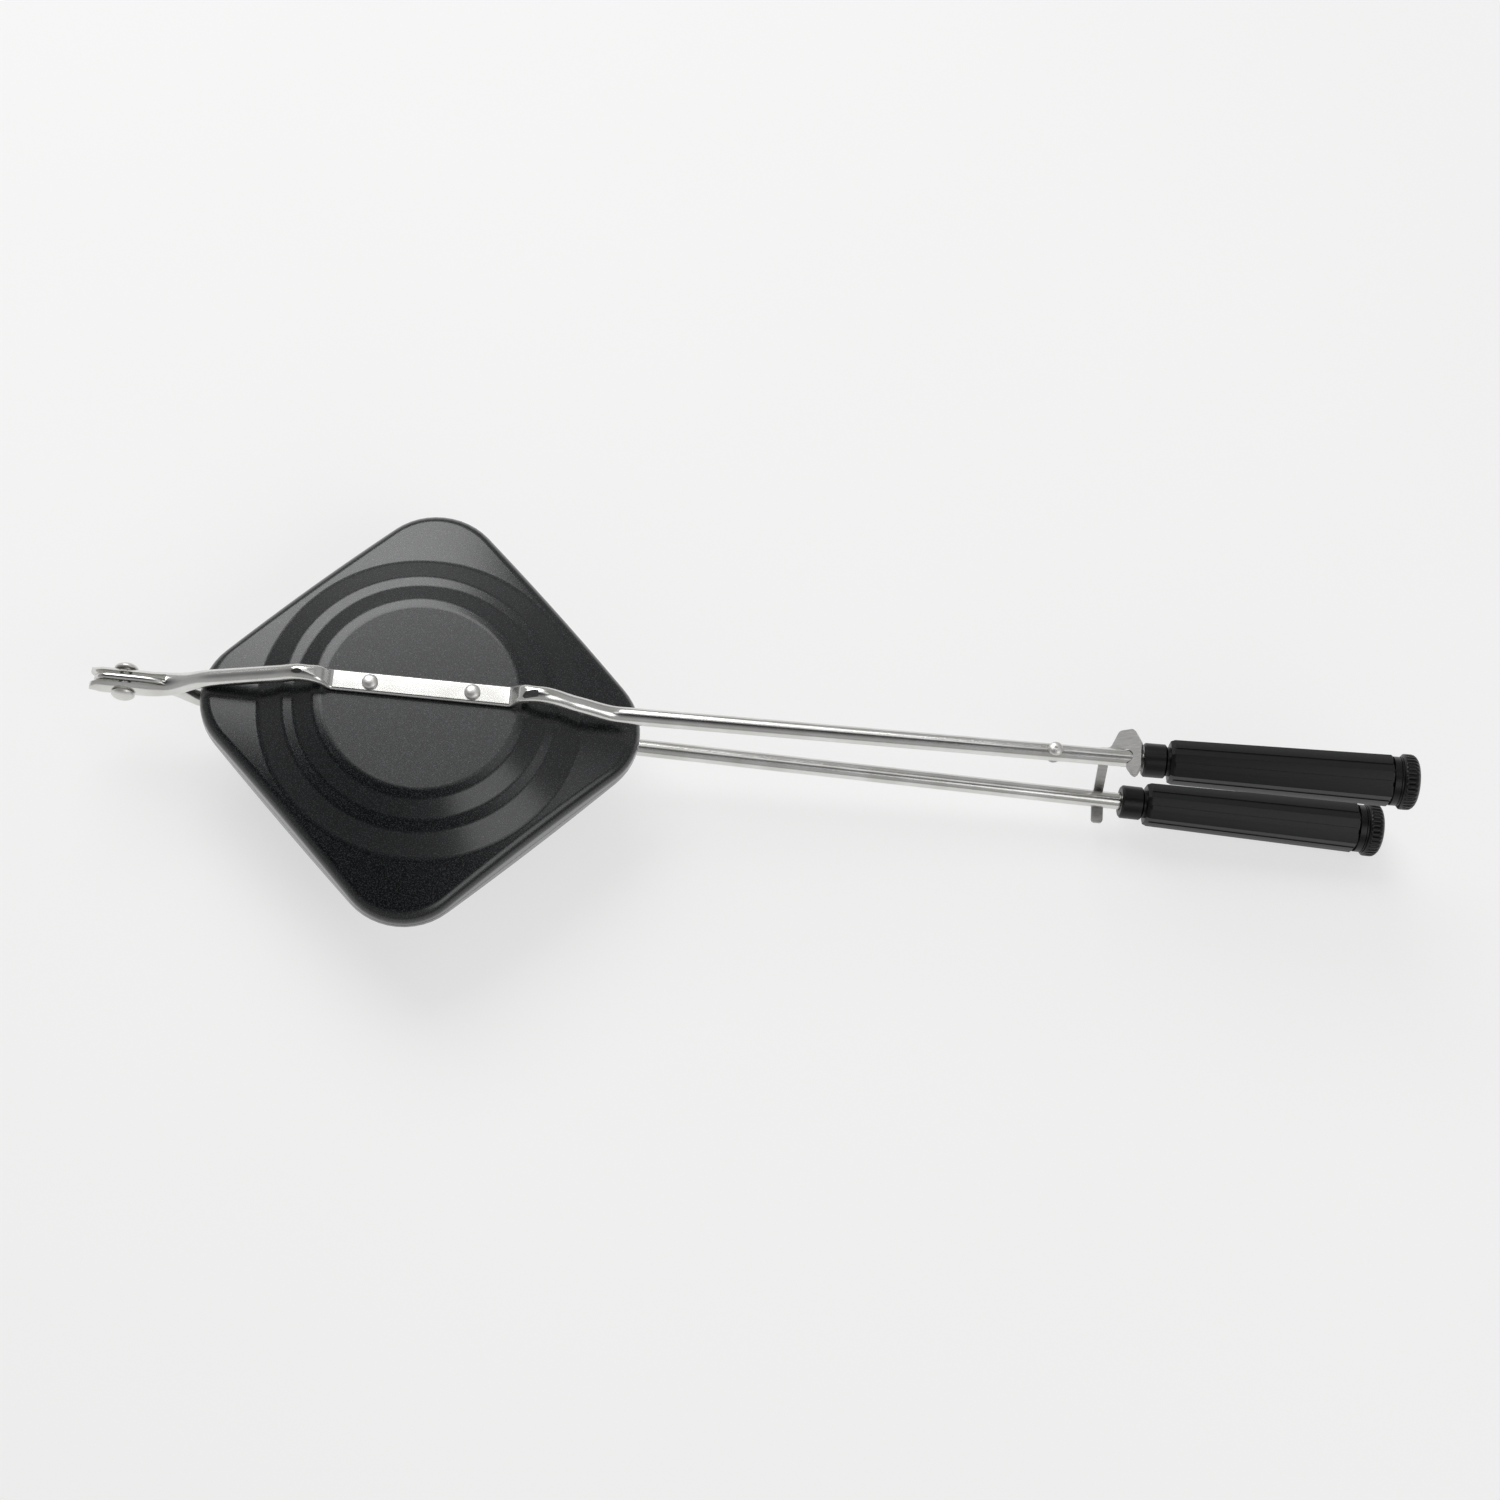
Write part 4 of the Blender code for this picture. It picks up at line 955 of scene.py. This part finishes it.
use_modifier(
    latch, "BEVEL", width=0.22 * MM, segments=2, limit_method="ANGLE", angle_limit=radians(50),
)
set_in_place(latch, latch_place, (0, -ARM_TILT, 0))
smooth_piece(latch, 35)

# Cold-rolled sheet steel, plated dull: mid grey with fine rolling lines about 0.3 mm wide.
sheet_steel, tree = start_material("dull_plated_sheet_steel")
place = add_node(tree, "ShaderNodeTexCoord")
along = add_node(
    tree, "ShaderNodeMapping", {"Scale": (1 / (9 * MM), 1 / (0.5 * MM), 1 / (2 * MM))},
    {"Vector": place.outputs["Object"]},
)
rolling = add_node(
    tree, "ShaderNodeTexNoise", {"Scale": 1.0, "Detail": 4.0}, {"Vector": along.outputs["Vector"]}
)
tone = add_node(
    tree, "ShaderNodeValToRGB",
    {"stops": [(0.3, linear("#a3a2a0")), (0.7, linear("#b9b8b6"))]},
    {"Fac": rolling.outputs["Fac"]},
)
gloss = add_node(
    tree, "ShaderNodeMapRange", {"To Min": 0.42, "To Max": 0.56}, {"Value": rolling.outputs["Fac"]}
)
relief = add_node(
    tree, "ShaderNodeBump", {"Strength": 0.2, "Distance": 0.03 * MM},
    {"Height": rolling.outputs["Fac"]},
)
shader = add_node(
    tree, "ShaderNodeBsdfPrincipled", {"Metallic": 1.0},
    {
        "Base Color": tone.outputs["Color"], "Roughness": gloss.outputs["Result"],
        "Normal": relief.outputs["Normal"],
    },
)
finish_material(tree, shader)
dress(latch, sheet_steel, "latch", "latch_steel", "latch")


# Grips. Six-sided handles moulded in black phenolic, with a ridge along each edge, slightly
# crowned flats, a round collar and groove at the tube, and a round flange that carries the
# cap.

GRIP_START = 299.64 * MM
GRIP_LENGTH = 106.5 * MM
BODY_START = 11.0 * MM
BODY_END = 103.9 * MM
START_RADIUS = 9.6 * MM
END_RADIUS = 10.9 * MM
FLANGE_RADIUS = 10.25 * MM
COLLAR_RADIUS = 7.1 * MM
GRIP_BORE_RADIUS = 3.95 * MM
GRIP_BORE_END = 98.0 * MM
SCREW_HOLE = 1.8 * MM


def step_loop(distance, radius, rounded=False):
    """Extrude the picked loop along the grip and give it a new radius."""
    bpy.ops.mesh.extrude_edges_move(TRANSFORM_OT_translate={"value": (distance, 0, 0)})
    here = picked_points()
    middle = (here[0].x, 0, 0)
    if rounded:
        bpy.ops.transform.tosphere(value=1.0)
        here = picked_points()
    reach = max(point.yz.length for point in here)
    bpy.ops.transform.resize(value=(1, radius / reach, radius / reach), center_override=middle)


def six_sided_grip(name):
    bpy.ops.object.select_all(action="DESELECT")
    bpy.ops.mesh.primitive_circle_add(
        vertices=6, radius=START_RADIUS, location=(BODY_START + 1.8 * MM, 0, 0),
        rotation=(0, pi / 2, 0),
    )
    grip = edit_piece(name)
    pick("EDGE", lambda edge: True)
    bpy.ops.mesh.subdivide(number_cuts=7)
    bpy.ops.transform.tosphere(value=0.22)
    corners = [p for p in picked_points() if p.yz.length > START_RADIUS * 0.985]
    if not any(abs(p.y) < CLOSE for p in corners):
        bpy.ops.transform.rotate(
            value=pi / 6, orient_axis="X", center_override=(BODY_START, 0, 0)
        )
    pick("EDGE", lambda edge: True)
    step_loop(BODY_END - BODY_START - 2.8 * MM, END_RADIUS)
    step_loop(1.0 * MM, FLANGE_RADIUS - 0.1 * MM)
    step_loop(0.0, FLANGE_RADIUS, True)
    step_loop(GRIP_LENGTH - BODY_END, FLANGE_RADIUS)
    bpy.ops.mesh.edge_face_add()
    pick("EDGE", lambda edge: edge.is_boundary)
    step_loop(-1.8 * MM, 8.7 * MM)
    step_loop(0.0, 6.0 * MM, True)
    step_loop(-1.2 * MM, 6.0 * MM)
    step_loop(-0.5 * MM, COLLAR_RADIUS - 0.4 * MM)
    step_loop(-0.4 * MM, COLLAR_RADIUS)
    step_loop(-8.1 * MM, COLLAR_RADIUS)
    step_loop(-0.8 * MM, COLLAR_RADIUS - 0.8 * MM)
    bpy.ops.mesh.edge_face_add()

    def on_corner(point):
        turn = degrees(Vector((0, 1)).angle_signed(point.co.yz.normalized(), 0.0))
        return abs((turn - 90 + 30) % 60 - 30) < 1.0

    pick("EDGE", lambda edge: (
        edge.calc_length() > 50 * MM and all(on_corner(p) for p in edge.verts)
    ))
    bpy.ops.mesh.bevel(offset=0.45 * MM, segments=1, affect="EDGES", profile=0.5)
    pick("FACE", lambda face: (
        face.calc_area() > 0 and len(face.verts) == 4
        and max(edge.calc_length() for edge in face.edges) > 50 * MM
        and min(edge.calc_length() for edge in face.edges) < 0.9 * MM
    ))
    bpy.ops.mesh.extrude_region_shrink_fatten(TRANSFORM_OT_shrink_fatten={"value": 0.3 * MM})
    bpy.ops.mesh.select_all(action="SELECT")
    bpy.ops.mesh.normals_make_consistent(inside=False)
    leave_edit()
    drill(
        grip, GRIP_BORE_RADIUS, ((GRIP_BORE_END - 2 * MM) / 2, 0, 0), GRIP_BORE_END + 2 * MM,
        (0, pi / 2, 0),
    )
    drill(grip, SCREW_HOLE, (GRIP_LENGTH, 0, 0), 19 * MM, (0, pi / 2, 0))
    use_modifier(
        grip, "BEVEL", width=0.12 * MM, segments=2, limit_method="ANGLE",
        angle_limit=radians(40),
    )
    return grip


# Phenolic moulding: deep black with a soft moulded grain, which spreads each highlight
# into a grey band along the flats.
moulding, tree = start_material("black_phenolic_moulding")
place = add_node(tree, "ShaderNodeTexCoord")
grain = add_node(
    tree, "ShaderNodeTexNoise", {"Scale": 1 / (0.8 * MM), "Detail": 4.0},
    {"Vector": place.outputs["Object"]},
)
tone = add_node(
    tree, "ShaderNodeValToRGB",
    {"stops": [(0.3, linear("#050506")), (0.7, linear("#090909"))]},
    {"Fac": grain.outputs["Fac"]},
)
gloss = add_node(
    tree, "ShaderNodeMapRange", {"To Min": 0.28, "To Max": 0.42}, {"Value": grain.outputs["Fac"]}
)
relief = add_node(
    tree, "ShaderNodeBump", {"Strength": 0.25, "Distance": 0.04 * MM},
    {"Height": grain.outputs["Fac"]},
)
shader = add_node(
    tree, "ShaderNodeBsdfPrincipled", {"Metallic": 0.0, "IOR": 1.5, "Specular IOR Level": 0.32},
    {
        "Base Color": tone.outputs["Color"], "Roughness": gloss.outputs["Result"],
        "Normal": relief.outputs["Normal"],
    },
)
finish_material(tree, shader)

for word, side in (("upper", 1), ("lower", -1)):
    grip = six_sided_grip(f"{word}_moulded_grip")
    set_in_place(
        grip, (GRIP_START, ARM_Y, JOINT_LEVEL + side * run_level(GRIP_START)),
        (0, -side * ARM_TILT, 0),
    )
    smooth_piece(grip, 35)
    dress(grip, moulding, f"{word}_half", "black_moulding", f"{word}_grip")


# End caps. Ribbed round knobs in the same moulding, set against the grip's flange, with a
# rounded end and a sunk seat for the screw.

CAP_START = GRIP_LENGTH + TOUCH_GAP
CAP_RADIUS = 11.6 * MM
CAP_LENGTH = 8.2 * MM
CAP_ROUND = 3.6 * MM
CAP_END_RADIUS = 5.8 * MM
RIBS = 34
SCREW_HEAD_HEIGHT = 2.0 * MM
SCREW_SEAT = CAP_START + CAP_LENGTH - 0.9 * MM - SCREW_HEAD_HEIGHT - TOUCH_GAP


def sink_valleys(depth):
    """Press the picked loop in between its ribs."""
    here = picked_points()
    x = here[0].x
    radius = max(point.yz.length for point in here)

    def in_valley(point):
        turn = Vector((0, 1)).angle_signed(point.co.yz.normalized(), 0.0)
        return close(point.co.x, x) and point.co.yz.length > radius - CLOSE and (
            round(turn / (2 * pi) * 4 * RIBS) % 4 == 2
        )

    pick("VERT", in_valley)
    share = (radius - depth) / radius
    bpy.ops.transform.resize(value=(1, share, share), center_override=(x, 0, 0))


def ribbed_cap(name):
    bpy.ops.object.select_all(action="DESELECT")
    bpy.ops.mesh.primitive_circle_add(
        vertices=4 * RIBS, radius=FLANGE_RADIUS, fill_type="NGON",
        location=(CAP_START, 0, 0), rotation=(0, pi / 2, 0),
    )
    cap = edit_piece(name)
    pick("EDGE", lambda edge: edge.is_boundary)
    end = CAP_START + CAP_LENGTH
    knob = CAP_START + 0.8 * MM
    stations = [(knob, FLANGE_RADIUS, 0.0), (knob, CAP_RADIUS - 0.7 * MM, 0.0)]
    stations += [(knob + 0.6 * MM, CAP_RADIUS - 0.05 * MM, 0.0)]
    stations += [(knob + 1.2 * MM, CAP_RADIUS, 0.45 * MM)]
    stations += [(knob + 1.6 * MM, CAP_RADIUS, 0.6 * MM)]
    for share in (0.0, 0.25, 0.5, 0.7, 0.85, 0.95, 1.0):
        radius = CAP_END_RADIUS + (CAP_RADIUS - CAP_END_RADIUS) * sqrt(1 - share * share)
        stations.append((end - CAP_ROUND * (1 - share), radius, 0.6 * MM * (1 - share)))
    x = CAP_START
    for place, radius, depth in stations:
        step_loop(place - x, radius)
        x = place
    bpy.ops.mesh.edge_face_add()
    for place, radius, depth in stations:
        if depth > 0.05 * MM:
            pick("VERT", lambda p: close(p.co.x, place) and close(p.co.yz.length, radius))
            sink_valleys(depth)
    bpy.ops.mesh.select_all(action="SELECT")
    bpy.ops.mesh.normals_make_consistent(inside=False)
    leave_edit()
    drill(cap, SCREW_HOLE, (CAP_START + CAP_LENGTH / 2, 0, 0), 20 * MM, (0, pi / 2, 0))
    drill(cap, 3.4 * MM, (SCREW_SEAT + 5 * MM, 0, 0), 10 * MM, (0, pi / 2, 0))
    return cap


for word, side in (("upper", 1), ("lower", -1)):
    cap = ribbed_cap(f"{word}_ribbed_cap")
    set_in_place(
        cap, (GRIP_START, ARM_Y, JOINT_LEVEL + side * run_level(GRIP_START)),
        (0, -side * ARM_TILT, 0),
    )
    smooth_piece(cap, 50)
    dress(cap, moulding, f"{word}_half", "black_moulding", f"{word}_grip_cap")


# Cap screws. Zinc-plated pan-head screws with a cross recess, sunk in the caps. The plugs
# that take them, inside the tubes, keep the frame's shape and share the finish.

zinc, tree = start_material("zinc_plated_screw_steel")
place = add_node(tree, "ShaderNodeTexCoord")
bloom = add_node(
    tree, "ShaderNodeTexNoise", {"Scale": 1 / (1.2 * MM), "Detail": 2.0},
    {"Vector": place.outputs["Object"]},
)
tone = add_node(
    tree, "ShaderNodeValToRGB",
    {"stops": [(0.3, linear("#b9bcbf")), (0.7, linear("#d3d5d6"))]},
    {"Fac": bloom.outputs["Fac"]},
)
gloss = add_node(
    tree, "ShaderNodeMapRange", {"To Min": 0.22, "To Max": 0.4}, {"Value": bloom.outputs["Fac"]}
)
shader = add_node(
    tree, "ShaderNodeBsdfPrincipled", {"Metallic": 1.0},
    {"Base Color": tone.outputs["Color"], "Roughness": gloss.outputs["Result"]},
)
finish_material(tree, shader)

screw_tip = 89.2 * MM
screw_radius = 1.5 * MM
head_seat = SCREW_SEAT + TOUCH_GAP
screw_profile = [
    (screw_tip, 0.0), (screw_tip, screw_radius - 0.4 * MM),
    (screw_tip + 0.6 * MM, screw_radius), (head_seat, screw_radius),
]
screw_profile += domed_head(head_seat, 3.1 * MM, SCREW_HEAD_HEIGHT, 1)
for word, side in (("upper", 1), ("lower", -1)):
    screw = turned_piece(f"{word}_cross_head_screw", screw_profile, (0, 0, 0), (0, 0, 0))
    for width, depth in ((3.4 * MM, 0.7 * MM), (0.7 * MM, 3.4 * MM)):
        bpy.ops.object.select_all(action="DESELECT")
        bpy.ops.mesh.primitive_cube_add(
            size=1.0, location=(head_seat + SCREW_HEAD_HEIGHT, 0, 0)
        )
        bpy.context.object.scale = (2.2 * MM, width, depth)
        bpy.ops.object.transform_apply(location=True, rotation=True, scale=True)
        cut_away(screw, bpy.context.object)
    set_in_place(
        screw, (GRIP_START, ARM_Y, JOINT_LEVEL + side * run_level(GRIP_START)),
        (0, -side * ARM_TILT, 0),
    )
    smooth_piece(screw, 35)
    dress(screw, zinc, f"{word}_half", "screw_steel", f"{word}_cap_screw")
    for material_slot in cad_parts[f"{word}_tube_plug"].material_slots:
        material_slot.material = zinc
